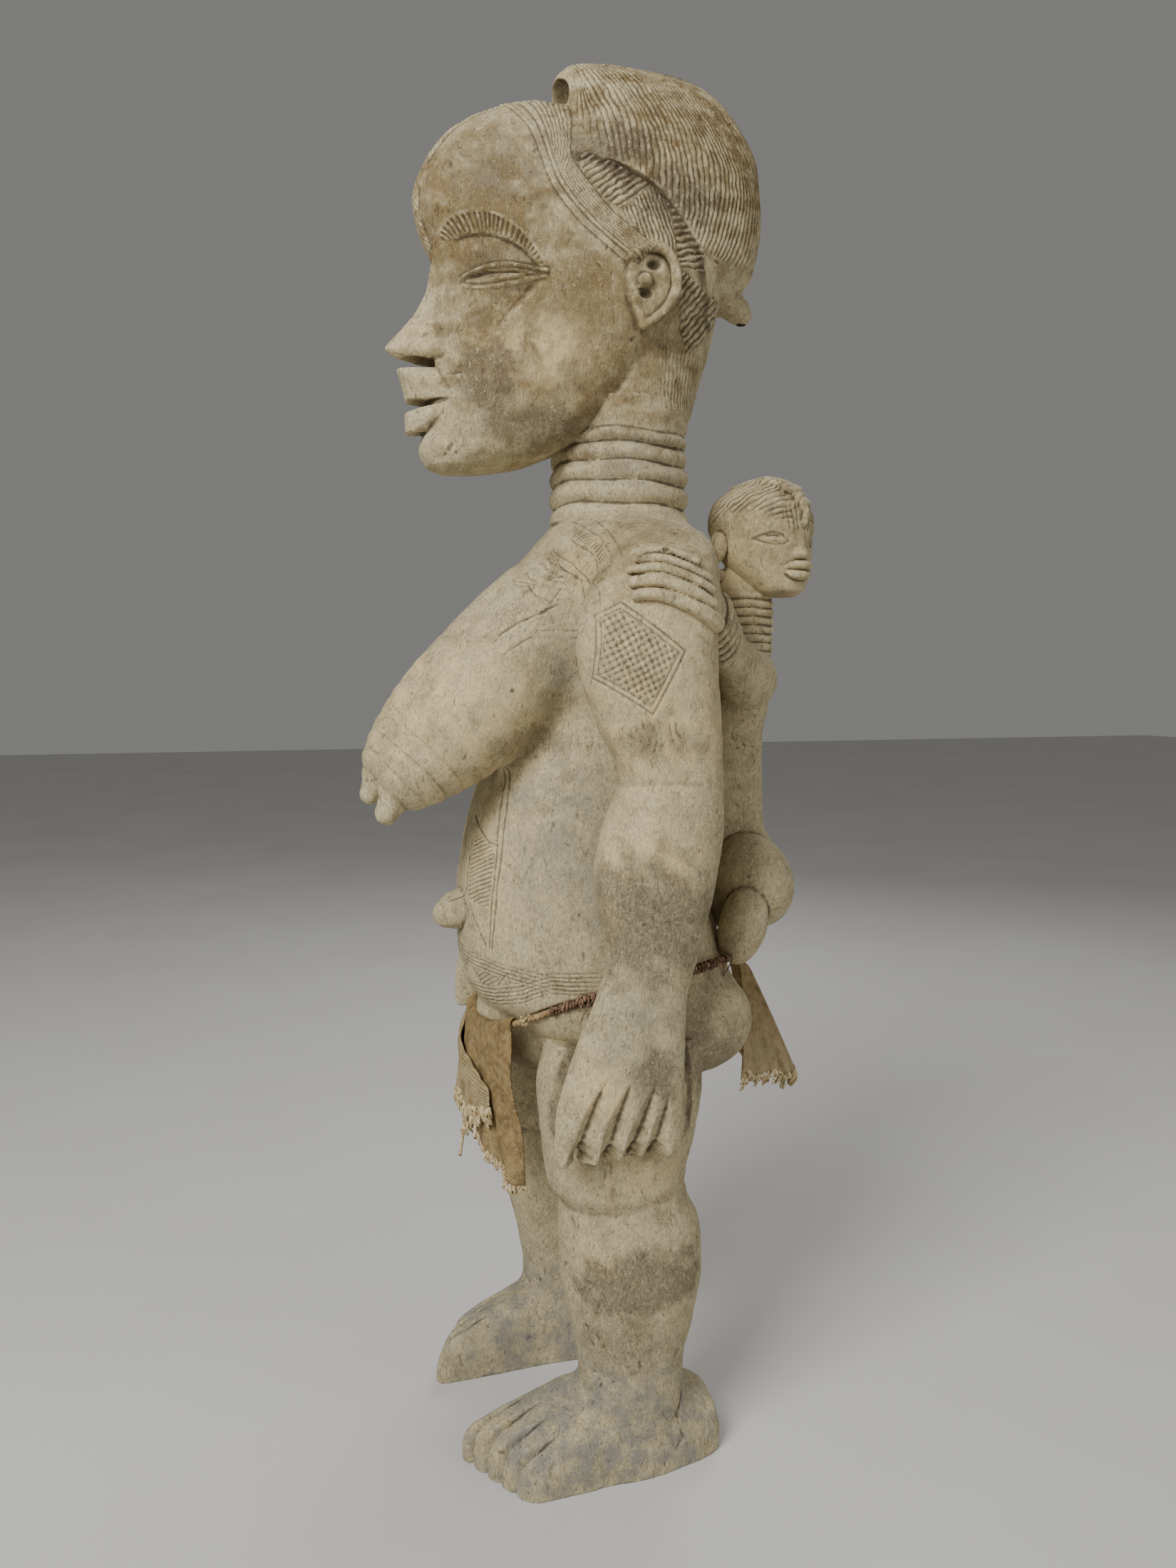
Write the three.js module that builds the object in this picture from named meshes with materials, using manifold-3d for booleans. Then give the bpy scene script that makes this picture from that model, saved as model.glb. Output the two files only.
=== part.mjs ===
// African maternity figure: a standing woman and the child on her back, carved from one block of
// hardwood, with a plaited cord tied round her hips and a woven apron panel hung from it in front
// and behind. Millimetres, +Z up. She looks along -Y and her left side is +X.
// The carving keeps its pose and proportions as thousandths of its own height.

import * as THREE from 'three';
import { mergeVertices } from 'three/addons/utils/BufferGeometryUtils.js';
import Module from 'manifold-3d';

const wasm = await Module();
wasm.setup();

// Driving sizes
const figureHeight = 1000;
const cordDiameter = 8;
const clearance = 0.3;
const clothThickness = 3;
const frontClothWidth = 92;
const frontClothDrop = 128;
const frontClothSlant = 46;
const backClothTopWidth = 24;
const backClothHemWidth = 88;
const backClothDrop = 108;
const backClothFlare = 52;

// Counts of what repeats in the carving
const neckRings = 5;
const childNeckRings = 5;
const crestStrands = 20;
const bracelets = 4;
const childFingers = 4;
const toes = 5;

// The right hand lies further forwards and higher than the left one, in thousandths
const rightHandForwards = 22;
const rightHandRaised = 30;
const elbowLevel = 466;
const wristLevel = 346;

const share = figureHeight / 1000;

/** A point given in thousandths of the figure's height. */
function at(x, y, z) {
  return new THREE.Vector3(x, y, z).multiplyScalar(share);
}

/** Unit point of a rounded outline: fullness 2 is an ellipse, more is squarer, less is sharper. */
function outline(angle, fullness) {
  const c = Math.cos(angle);
  const s = Math.sin(angle);
  const power = 2 / fullness;
  return [Math.sign(c) * Math.abs(c) ** power, Math.sign(s) * Math.abs(s) ** power];
}

/** One closed skin over rings of equal count, each end closed by a fan from its middle. */
function skin(rings) {
  const count = rings[0].length;
  const positions = [];
  const index = [];
  for (const ring of rings) {
    for (const p of ring) positions.push(p.x, p.y, p.z);
  }
  const ends = [0, rings.length - 1];
  for (const end of ends) {
    const middle = new THREE.Vector3();
    for (const p of rings[end]) middle.addScaledVector(p, 1 / count);
    positions.push(middle.x, middle.y, middle.z);
  }
  const firstMiddle = rings.length * count;
  for (let j = 0; j < count; j += 1) {
    const next = (j + 1) % count;
    for (let i = 0; i < rings.length - 1; i += 1) {
      const low = i * count;
      const high = low + count;
      index.push(low + j, low + next, high + next, low + j, high + next, high + j);
    }
    const top = (rings.length - 1) * count;
    index.push(firstMiddle, next, j);
    index.push(firstMiddle + 1, top + j, top + next);
  }
  const geometry = new THREE.BufferGeometry();
  geometry.setAttribute('position', new THREE.Float32BufferAttribute(positions, 3));
  geometry.setIndex(index);
  return geometry;
}

/**
 * A form that rises along Z. Rows are [z, x, front, back, widest, half, fullness]: the level, the
 * middle across, the foremost and rearmost y, the y where it is widest, its half width there.
 */
function upright(rows, sides) {
  const rings = rows.map(([z, x, front, back, widest, half, fullness]) => {
    const ring = [];
    for (let j = 0; j < sides; j += 1) {
      const [c, s] = outline((2 * Math.PI * j) / sides, fullness);
      const reach = s > 0 ? back - widest : widest - front;
      ring.push(at(x + half * c, widest + reach * s, z));
    }
    return ring;
  });
  return skin(rings);
}

/**
 * A form that follows a path. Rows are [x, y, z, across, deep, fullness]: the middle of each
 * section, its half sizes along and square to the side direction, and how square it is.
 */
function limb(rows, sides, side = new THREE.Vector3(1, 0, 0)) {
  const rings = rows.map(([x, y, z, across, deep, fullness], i) => {
    const before = rows[Math.max(i - 1, 0)];
    const after = rows[Math.min(i + 1, rows.length - 1)];
    const along = new THREE.Vector3(after[0] - before[0], after[1] - before[1], after[2] - before[2]);
    along.normalize();
    const u = side.clone().addScaledVector(along, -side.dot(along)).normalize();
    const v = new THREE.Vector3().crossVectors(along, u);
    const ring = [];
    for (let j = 0; j < sides; j += 1) {
      const [c, s] = outline((2 * Math.PI * j) / sides, fullness);
      const p = new THREE.Vector3(x, y, z).addScaledVector(u, across * c).addScaledVector(v, deep * s);
      ring.push(p.multiplyScalar(share));
    }
    return ring;
  });
  return skin(rings);
}

/** An egg-shaped lump with its middle, its half sizes and its tilts in degrees. */
function lump(x, y, z, halfX, halfY, halfZ, tiltX = 0, turnZ = 0, sides = 16) {
  const geometry = new THREE.SphereGeometry(share, sides, Math.round(sides * 0.7));
  geometry.rotateX(Math.PI / 2);
  geometry.scale(halfX, halfY, halfZ);
  geometry.rotateX(THREE.MathUtils.degToRad(tiltX));
  geometry.rotateZ(THREE.MathUtils.degToRad(turnZ));
  geometry.translate(x * share, y * share, z * share);
  return geometry;
}

/** A round form with ring-shaped swellings, as a neck banded with rings. */
function banded(x, y, rows, rings, from, to, swell, sides) {
  const profile = [];
  const pitch = (to - from) / rings;
  const radiusAt = (z) => {
    let k = 0;
    while (k < rows.length - 2 && z > rows[k + 1][0]) k += 1;
    const t = THREE.MathUtils.clamp((z - rows[k][0]) / (rows[k + 1][0] - rows[k][0]), 0, 1);
    return rows[k][1] + (rows[k + 1][1] - rows[k][1]) * t;
  };
  const levels = [rows[0][0]];
  for (let i = 0; i < rings; i += 1) levels.push(from + i * pitch, from + (i + 0.5) * pitch);
  levels.push(to, rows[rows.length - 1][0]);
  for (const z of levels) {
    const step = (z - from) / pitch;
    const onRing = z > from && z < to && Math.abs(step - Math.floor(step) - 0.5) < 0.1;
    profile.push([z, radiusAt(z) + (onRing ? swell : -swell / 2)]);
  }
  const bands = profile.map(([z, radius]) => {
    const ring = [];
    for (let j = 0; j < sides; j += 1) {
      const angle = (2 * Math.PI * j) / sides;
      ring.push(at(x + radius * Math.cos(angle), y + radius * Math.sin(angle), z));
    }
    return ring;
  });
  return skin(bands);
}

/** A closed mesh as a solid that can be joined and cut, with its faces turned outwards. */
function solid(source) {
  const geometry = source.clone();
  geometry.deleteAttribute('normal');
  geometry.deleteAttribute('uv');
  const merged = mergeVertices(geometry, 1e-4);
  const p = merged.getAttribute('position').array;
  const t = Array.from(merged.getIndex().array);
  const kept = [];
  let volume = 0;
  for (let i = 0; i < t.length; i += 3) {
    const [a, b, c] = [t[i], t[i + 1], t[i + 2]];
    if (a === b || b === c || a === c) continue;
    kept.push(a, b, c);
    const [A, B, C] = [a, b, c].map((k) => new THREE.Vector3(p[3 * k], p[3 * k + 1], p[3 * k + 2]));
    volume += A.dot(B.cross(C));
  }
  if (volume < 0) kept.reverse();
  const mesh = new wasm.Mesh({
    numProp: 3,
    vertProperties: new Float32Array(p),
    triVerts: new Uint32Array(kept),
  });
  return new wasm.Manifold(mesh);
}

/** Several closed meshes joined into one solid. */
function joined(geometries) {
  return geometries.map(solid).reduce((sum, next) => sum.add(next));
}

/** The mesh of a solid, ready to draw. */
function meshOf(shape) {
  const { vertProperties, triVerts } = shape.getMesh();
  const geometry = new THREE.BufferGeometry();
  geometry.setAttribute('position', new THREE.BufferAttribute(new Float32Array(vertProperties), 3));
  geometry.setIndex(new THREE.BufferAttribute(new Uint32Array(triVerts), 1));
  geometry.computeVertexNormals();
  return geometry;
}

/** The same form on her other side. */
function mirrored(geometry) {
  return geometry.clone().scale(-1, 1, 1);
}

/** A form made on her left and repeated on her right. */
function bothSides(geometries) {
  return [...geometries, ...geometries.map(mirrored)];
}

/** Trunk: hips, belly, waist, chest and the slope of the shoulders. */
function trunk() {
  return upright([
    [282, 0, -36, 60, 10, 60, 2.2],
    [300, 0, -58, 84, 8, 86, 2.2],
    [320, 0, -78, 98, 6, 95, 2.2],
    [342, 0, -95, 106, 4, 92, 2.2],
    [372, 0, -99, 98, 0, 88, 2.2],
    [405, 0, -99, 85, -6, 84, 2.2],
    [450, 0, -93, 76, -4, 78, 2.2],
    [510, 0, -74, 79, 6, 78, 2.3],
    [550, 0, -56, 84, 14, 84, 2.4],
    [590, 0, -47, 88, 20, 96, 2.5],
    [620, 0, -44, 89, 24, 106, 2.5],
    [645, 0, -40, 87, 26, 104, 2.4],
    [664, 0, -35, 83, 26, 84, 2.2],
    [680, 0, -30, 78, 25, 60, 2.1],
    [694, 0, -26, 74, 24, 48, 2],
  ], 16);
}

/** Breast: a long cone that points forwards and down, with a small nipple. */
function breast() {
  const cone = limb([
    [34, 6, 630, 34, 44, 2],
    [38, -32, 598, 38, 48, 2],
    [41, -68, 565, 38, 45, 2],
    [42, -99, 535, 34, 41, 2],
    [42, -128, 507, 27, 31, 2],
    [41, -147, 488, 17, 20, 2],
    [41, -154, 480, 9, 11, 2],
  ], 12);
  const nipple = limb([
    [41, -148, 487, 8, 8, 2],
    [41, -156, 473, 8, 8, 2],
    [41, -158, 466, 5, 5, 2],
  ], 6);
  return [cone, nipple];
}

/**
 * Arm that hangs from the shoulder and broadens again into a flat hand on the thigh. The hand can
 * lie further forwards and higher than straight down.
 */
function arm(forwards = 0, raised = 0) {
  const hung = [
    [662, 94, 14, 48, 34, 14, 2],
    [646, 103, -12, 54, 26, 26, 2.1],
    [622, 108, -29, 57, 19, 31, 2.2],
    [580, 112, -37, 59, 15, 34, 2.2],
    [532, 112, -23, 61, 20, 33, 2.2],
    [496, 112, -12, 60, 25, 31, 2.2],
    [466, 112, -24, 58, 18, 31, 2.2],
    [432, 112, -31, 54, 13, 31, 2.2],
    [376, 117, -24, 41, 9, 22, 2.3],
    [346, 120, -34, 36, 4, 17, 2.4],
    [304, 125, -52, 33, -8, 13, 2.6],
    [276, 126, -54, 28, -11, 10, 2.6],
  ];
  const reach = upright(hung.map(([z, x, front, back, ...rest]) => {
    const swing = THREE.MathUtils.clamp((elbowLevel - z) / (elbowLevel - wristLevel), 0, 1);
    const [widest, ...size] = rest;
    const ahead = forwards * swing;
    return [z + raised * swing, x, front - ahead, back - ahead, widest - ahead, ...size];
  }), 12);
  const fingers = [];
  const tips = [[-53, 248], [-35, 245], [-15, 245], [4, 246], [19, 248]];
  tips.forEach(([tipY, tipZ], k) => {
    const y = tipY - forwards;
    const root = y + 11 - 2 * k;
    fingers.push(limb([
      [125, root, 304 + raised, 10, 8, 2],
      [128, (root + y) / 2 + 1, 274 + raised, 11, 9, 2],
      [126, y, tipZ + raised, 8, 7, 2],
    ], 6));
  });
  return [reach, ...fingers];
}

/**
 * Foot: sections from heel to toes, each slanting back towards the little toe. Rows are
 * [y, inner, outer, base, top, slant, cleft], the last being how deep the clefts of the toes are.
 */
function foot() {
  const rows = [
    [75, 66, 88, 12, 24, 0, 0],
    [66, 54, 99, 1, 43, 0, 0],
    [36, 46, 107, -6, 57, 0, 0],
    [-32, 45, 111, -6, 62, 6, 0],
    [-64, 44, 112, -6, 52, 18, 3],
    [-96, 44, 112, -6, 40, 32, 6],
    [-109, 44, 112, -6, 31, 36, 6],
    [-115, 47, 109, 3, 20, 36, 4],
  ];
  const perToe = 2;
  const steps = perToe * toes;
  const rings = rows.map(([y, inner, outer, base, top, slant, cleft]) => {
    const ring = [at(outer, y + slant, base), at(inner, y, base)];
    for (let k = 0; k <= steps; k += 1) {
      const t = k / steps;
      const dome = Math.sqrt(1 - Math.abs(2 * t - 1) ** 3.2);
      const drop = k % perToe ? 0 : cleft;
      const height = top * (0.35 + 0.65 * dome) * (1 - 0.25 * t);
      ring.push(at(inner + (outer - inner) * t, y + slant * t + drop * 0.6, height - drop));
    }
    return ring;
  });
  return skin(rings);
}

/** Leg with its swollen calf, standing on a broad foot with long toes. */
function leg() {
  const shank = upright([
    [326, 64, -44, 58, 8, 36, 2.1],
    [280, 77, -61, 58, 0, 43, 2.2],
    [240, 78, -58, 52, -2, 42, 2.2],
    [210, 78, -54, 45, -3, 40, 2.2],
    [196, 78, -45, 47, 0, 38, 2.2],
    [172, 78, -46, 57, 6, 40, 2.2],
    [140, 78, -44, 58, 8, 40, 2.2],
    [104, 78, -36, 52, 8, 36, 2.2],
    [70, 78, -31, 45, 7, 33, 2.2],
    [-6, 78, -34, 48, 7, 31, 2.2],
  ], 12);
  return [shank, foot()];
}

/** Hips behind and in front, and the navel knob. */
function hips() {
  return [
    ...bothSides([lump(53, 60, 312, 45, 48, 40, 0, 0, 10)]),
    lump(0, -22, 296, 44, 46, 34, 0, 0, 8),
    limb([
      [0, -90, 396, 13, 13, 2],
      [0, -104, 393, 11, 11, 2],
      [0, -112, 390, 7, 8, 2],
      [0, -115, 389, 3, 4, 2],
    ], 6),
  ];
}

/** Long narrow head without its features: jaw, cheeks, domed brow and skull. */
function skull() {
  return upright([
    [707, 0, -113, -86, -99, 12, 2],
    [712, 0, -121, -58, -86, 24, 2.1],
    [722, 0, -125, -30, -66, 34, 2.1],
    [738, 0, -121, 2, -40, 42, 2.1],
    [760, 0, -118, 22, -22, 48, 2.1],
    [785, 0, -117, 44, -8, 52, 2.1],
    [810, 0, -115, 76, 4, 55, 2.1],
    [835, 0, -112, 98, 14, 57, 2.1],
    [860, 0, -116, 108, 18, 57, 2.1],
    [885, 0, -124, 112, 18, 55, 2.1],
    [902, 0, -124, 112, 18, 52, 2.1],
    [920, 0, -115, 108, 18, 48, 2.1],
    [937, 0, -102, 98, 18, 42, 2.1],
    [951, 0, -84, 84, 14, 34, 2.1],
    [962, 0, -58, 66, 8, 24, 2.1],
    [968, 0, -36, 46, 4, 12, 2],
  ], 16);
}

/** Nape: the upper neck that leans back into the skull. */
function nape() {
  return upright([
    [742, 0, -16, 74, 20, 46, 2.1],
    [776, 0, -10, 84, 24, 45, 2.1],
    [808, 0, 0, 94, 30, 45, 2.1],
    [840, 0, 10, 100, 34, 46, 2.1],
  ], 12);
}

/** Nose: a sharp wedge with a flat underside. */
function nose() {
  return upright([
    [786, 0, -134, -96, -106, 13, 1.5],
    [789, 0, -143, -96, -108, 16, 1.4],
    [794, 0, -147, -96, -108, 16, 1.4],
    [803, 0, -139, -96, -108, 13, 1.4],
    [816, 0, -127, -96, -106, 10, 1.5],
    [832, 0, -119, -94, -104, 9, 1.7],
    [850, 0, -116, -94, -102, 9, 1.9],
  ], 8);
}

/** A bar that runs over the face from one side to the other, mirrored about the middle. */
function facebar(rows, sides, side) {
  const left = rows.slice(1).reverse().map(([x, ...rest]) => [-x, ...rest]);
  return limb([...left, ...rows], sides, side);
}

/** Lips as two squared bars, brows as arched bars, eyes as almonds under a lid line, and ears. */
function face() {
  const up = new THREE.Vector3(0, 0, 1);
  const upperLip = facebar([
    [0, -128, 766, 9, 12, 3.4],
    [12, -122, 764, 8, 11, 3.4],
    [21, -110, 758, 4, 9, 3],
    [26, -100, 755, 1.5, 6, 2.4],
  ], 8, up);
  const lowerLip = facebar([
    [0, -124, 741, 6.5, 12, 3],
    [12, -118, 743, 6, 11, 3],
    [21, -107, 748, 3, 9, 2.8],
    [26, -98, 752, 1.5, 6, 2.4],
  ], 8, up);
  const braid = limb([
    [0, -112, 854, 4, 4, 2.6],
    [0, -122, 874, 4, 4, 2.6],
    [0, -125, 893, 4, 4, 2.6],
    [0, -117, 916, 4, 4, 2.6],
    [0, -102, 937, 4, 4, 2.6],
    [0, -81, 952, 4, 4, 2.6],
    [0, -56, 962, 4, 4, 2.6],
    [0, -32, 968, 4, 4, 2.6],
  ], 4);
  const brow = limb([
    [12, -110, 862, 3, 4, 2.4],
    [20, -106, 871, 5, 5, 2.6],
    [31, -94, 876, 6, 5, 2.6],
    [43, -72, 872, 6, 5, 2.6],
    [51, -50, 852, 3, 4, 2.4],
  ], 6, up);
  const eye = limb([
    [27, -95, 832, 1, 2, 2],
    [35, -82, 834, 4, 4, 2],
    [44, -62, 834, 4, 4, 2],
    [51, -44, 834, 1, 2, 2],
  ], 4, up);
  const lid = limb([
    [27, -97, 836, 1.5, 2, 2],
    [35, -84, 841, 2.5, 4, 2.4],
    [44, -65, 841.5, 2.5, 4, 2.4],
    [53, -42, 837, 1.5, 3, 2],
  ], 4, up);
  return [upperLip, lowerLip, braid, ...bothSides([brow, eye, lid])];
}

/** Ear: a long C with a hollow in it and a small lobe in front. */
function ears() {
  const shell = solid(lump(58, 32, 827, 12, 16, 29, -8, 0, 10));
  const hollow = solid(lump(73, 28, 833, 9, 9, 20, -8, 0, 6));
  const lobe = solid(lump(64, 20, 826, 7, 6, 8, 0, 0, 6));
  return shell.subtract(hollow).add(lobe);
}

/** Helmet of hair strands with an overhanging edge, a scooped front and a knob at the nape. */
function crest() {
  const fluting = 1.1;
  const rows = [
    [838, 0, 70, 112, 96, 22, 2],
    [866, 0, 14, 127, 70, 48, 2.1],
    [900, 0, -12, 132, 52, 58, 2.1],
    [936, 0, -27, 129, 47, 55, 2.1],
    [964, 0, -31, 115, 42, 44, 2.1],
    [983, 0, -27, 99, 38, 31, 2.1],
    [995, 0, -17, 80, 34, 16, 2.1],
    [1000, 0, 4, 50, 28, 6, 2],
  ];
  const count = 2 * crestStrands;
  const rings = rows.map(([z, x, front, back, widest, half, fullness]) => {
    const ring = [];
    for (let j = 0; j < count; j += 1) {
      const angle = (2 * Math.PI * j) / count;
      const [c, s] = outline(angle, fullness);
      const reach = s > 0 ? back - widest : widest - front;
      const depth = j % 2 ? fluting : 0;
      const slim = 1 - depth / Math.max(half, 2 * fluting);
      ring.push(at(x + half * c * slim, widest + reach * s * slim, z));
    }
    return ring;
  });
  const under = new THREE.CylinderGeometry(284 * share, 284 * share, 160 * share, 36);
  under.rotateZ(Math.PI / 2);
  under.translate(0, -143 * share, 672 * share);
  const scoop = lump(0, -34, 966, 30, 24, 19, 0, 0, 10);
  const knob = limb([
    [0, 92, 852, 14, 12, 2],
    [0, 108, 847, 11, 10, 2],
    [0, 120, 841, 9, 9, 2],
    [0, 127, 837, 5, 5, 2],
  ], 8);
  return solid(skin(rings)).subtract(solid(under)).subtract(solid(scoop)).add(solid(knob));
}

/** The child's head, turned to look out past her left arm. */
function childHead() {
  const turn = -67;
  const parts = [
    lump(0, 0, 4, 37, 45, 43, 0, 0, 10),
    limb([[0, -30, -46, 10, 8, 2], [0, -34, -34, 20, 14, 2.2], [0, -30, -14, 30, 20, 2.2]], 6),
    upright([
      [-17, 0, -55, -30, -40, 8, 1.6],
      [-8, 0, -50, -30, -40, 6, 1.6],
      [4, 0, -47, -30, -38, 5, 1.8],
    ], 6),
    limb([[-13, -40, -25, 2, 3, 2.4], [0, -51, -24, 4, 5, 2.6], [13, -40, -25, 2, 3, 2.4]], 4,
      new THREE.Vector3(0, 0, 1)),
    limb([[-12, -40, -31, 2, 3, 2.4], [0, -49, -32, 4, 5, 2.6], [12, -40, -31, 2, 3, 2.4]], 4,
      new THREE.Vector3(0, 0, 1)),
    limb([[0, -46, 16, 5, 5, 2.4], [0, -34, 38, 7, 6, 2.4], [0, -8, 47, 9, 5, 2.4],
      [0, 22, 43, 8, 5, 2.4], [0, 42, 20, 5, 4, 2.4]], 4),
    ...bothSides([
      lump(36, 12, -4, 5, 8, 15, 0, 0, 6),
      limb([[12, -42, 3, 1, 2, 2], [20, -38, 5, 3, 3, 2], [30, -28, 4, 1, 2, 2]], 4,
        new THREE.Vector3(0, 0, 1)),
    ]),
  ];
  return parts.map((part) => part
    .scale(0.93, 0.93, 0.95)
    .rotateZ(THREE.MathUtils.degToRad(180 + turn))
    .translate(4 * share, 133 * share, 669 * share));
}

/** The child: trunk and ringed neck, arms to her shoulders, legs drawn up round her hips. */
function child() {
  const body = upright([
    [372, 4, 84, 152, 120, 34, 2.2],
    [400, 4, 82, 160, 122, 42, 2.2],
    [425, 4, 82, 152, 118, 36, 2.2],
    [452, 4, 82, 141, 114, 26, 2.2],
    [515, 4, 86, 139, 115, 25, 2.2],
    [542, 4, 88, 142, 118, 33, 2.2],
    [562, 4, 94, 143, 122, 34, 2.2],
    [586, 4, 112, 139, 125, 14, 2],
  ], 8);
  const neck = banded(4, 126, [[576, 13], [590, 15], [636, 20], [646, 20]], childNeckRings,
    584, 630, 1.4, 8);
  const side = new THREE.Vector3(0, 0, 1);
  const shoulder = [[20, 126, 566, 16, 12, 2], [42, 120, 558, 23, 18, 2], [60, 105, 558, 24, 20, 2]];
  const forearm = [];
  for (let k = 0; k <= 2 * bracelets; k += 1) {
    const t = k / (2 * bracelets);
    const swell = k % 2 ? 2.4 : 0;
    forearm.push([72 + 24 * t, 95 - 23 * t, 570 + 30 * t, 18.5 - 3 * t + swell, 16 - 2 * t + swell, 2]);
  }
  const upperArm = limb([...shoulder, ...forearm, [114, 48, 620, 18, 8, 2]], 6, side);
  const fingers = [];
  for (let k = 0; k < childFingers; k += 1) {
    const z = 605 + 13 * k;
    const x = 145 - 0.4 * k - 1.7 * k * k;
    fingers.push(limb([
      [x - 12, 50, z + 5, 6, 6, 2.4],
      [x - 1, 22, z + 2, 6.5, 5, 2.4],
      [x - 3, -9, z, 5, 4.5, 2.4],
    ], 5, side));
  }
  const thigh = lump(36, 120, 409, 34, 30, 37, 24, 0, 10);
  const shin = lump(60, 101, 380, 17, 18, 30, -14, 0, 6);
  return [body, neck, ...childHead(), ...bothSides([upperArm, ...fingers, thigh, shin])];
}

// The cord's route round the hips: half reaches across, in front and behind, and its two levels
const cordPath = { half: 94, front: -84, back: 107, widest: 4, frontLevel: 318, backLevel: 354 };
const cordFullness = 2.2;

/** Level way straight out from the cord's route at an angle, 0 on her left, a quarter turn behind. */
function cordOutwards(angle) {
  const { half, front, back, widest } = cordPath;
  const [c, s] = outline(angle, cordFullness);
  const reach = s > 0 ? back - widest : widest - front;
  const lean = (v) => Math.sign(v) * Math.abs(v) ** (cordFullness - 1);
  return new THREE.Vector3(lean(c) / half, lean(s) / reach, 0).normalize();
}

/** Point at an angle on the cord's route, or further out from it. */
function cordPoint(angle, outwards) {
  const { half, front, back, widest, frontLevel, backLevel } = cordPath;
  const [c, s] = outline(angle, cordFullness);
  const reach = s > 0 ? back - widest : widest - front;
  const level = backLevel - (backLevel - frontLevel) * ((1 - Math.sin(angle)) / 2) ** 2.5;
  return at(half * c, widest + reach * s, level).addScaledVector(cordOutwards(angle), outwards);
}

/** A ring of round section along the cord's route. */
function cordRing(radius, outwards, sides, steps) {
  const positions = [];
  const index = [];
  for (let i = 0; i < steps; i += 1) {
    const angle = (2 * Math.PI * i) / steps;
    const middle = cordPoint(angle, outwards);
    const flat = cordOutwards(angle);
    for (let j = 0; j < sides; j += 1) {
      const turn = (2 * Math.PI * j) / sides;
      const p = middle.clone().addScaledVector(flat, radius * Math.cos(turn));
      positions.push(p.x, p.y, p.z + radius * Math.sin(turn));
      const next = (j + 1) % sides;
      const ahead = ((i + 1) % steps) * sides;
      const here = i * sides;
      index.push(here + j, ahead + j, ahead + next, here + j, ahead + next, here + next);
    }
  }
  const geometry = new THREE.BufferGeometry();
  geometry.setAttribute('position', new THREE.Float32BufferAttribute(positions, 3));
  geometry.setIndex(index);
  return geometry;
}

const cordRadius = cordDiameter / 2;
const cordSeat = cordRadius * 0.5;
const cordSteps = 24;

/** Outer and inner point of hanging cloth at an angle, with its gap to the cord it hangs from. */
function clothPair(angle, level, gap) {
  return [clothThickness, 0].map((depth) => {
    const p = cordPoint(angle, cordSeat + cordRadius + gap + depth);
    p.z = level;
    return p;
  });
}

// Radius of the roundest stretch that a flat facet of the cloth has to clear
const clothBow = 300 * share;
const clothBands = 3;

/**
 * A hanging panel as one closed sheet: rows down the drop, each a band across a range of angles,
 * with its outer and its inner face stitched together round the edge.
 */
function panel(rows, columns) {
  const faces = [[], []];
  rows.forEach(({ level, from, to, flare }) => {
    const gap = clearance + clothBow * (1 - Math.cos((to - from) / columns / 2));
    for (let j = 0; j <= columns; j += 1) {
      const angle = from + ((to - from) * j) / columns;
      const [outer, inner] = clothPair(angle, level(j / columns), gap + flare);
      faces[0].push(outer);
      faces[1].push(inner);
    }
  });
  const positions = faces.flat().flatMap((p) => [p.x, p.y, p.z]);
  const across = columns + 1;
  const back = faces[0].length;
  const index = [];
  const quad = (p, q, r, t) => index.push(p, q, r, p, r, t);
  for (let i = 0; i < rows.length - 1; i += 1) {
    for (let j = 0; j < columns; j += 1) {
      const k = i * across + j;
      quad(k, k + 1, k + across + 1, k + across);
      quad(back + k, back + k + across, back + k + across + 1, back + k + 1);
    }
    const left = i * across;
    const right = left + columns;
    quad(left, left + across, back + left + across, back + left);
    quad(right, back + right, back + right + across, right + across);
  }
  const bottom = (rows.length - 1) * across;
  for (let j = 0; j < columns; j += 1) {
    quad(j, back + j, back + j + 1, j + 1);
    quad(bottom + j, bottom + j + 1, back + bottom + j + 1, back + bottom + j);
  }
  const geometry = new THREE.BufferGeometry();
  geometry.setAttribute('position', new THREE.Float32BufferAttribute(positions, 3));
  geometry.setIndex(index);
  return geometry;
}

/** Front panel: hangs straight, with a slanting hem that is longest on her left. */
function frontCloth() {
  const top = (cordPath.frontLevel + 8) * share;
  const reach = -cordPath.front * share;
  const middle = -Math.PI / 2 + 0.12;
  const spread = frontClothWidth / reach / 2;
  const rows = [];
  for (let i = 0; i <= clothBands; i += 1) {
    const t = i / clothBands;
    rows.push({
      from: middle - spread * (1 - 0.12 * t),
      to: middle + spread * (1 - 0.12 * t),
      level: (across) => top - (frontClothDrop - frontClothSlant * (1 - across)) * t,
      flare: 0,
    });
  }
  return panel(rows, 8);
}

/** Back panel: gathered at the cord and flared out over the hips. */
function backCloth() {
  const top = (cordPath.backLevel + 2) * share;
  const reach = cordPath.back * share;
  const rows = [];
  for (let i = 0; i <= clothBands; i += 1) {
    const t = i / clothBands;
    const width = backClothTopWidth + (backClothHemWidth - backClothTopWidth) * t;
    rows.push({
      from: Math.PI / 2 - width / reach / 2,
      to: Math.PI / 2 + width / reach / 2,
      level: () => top - backClothDrop * t,
      flare: backClothFlare * t ** 0.8,
    });
  }
  return panel(rows, 6);
}

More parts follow.
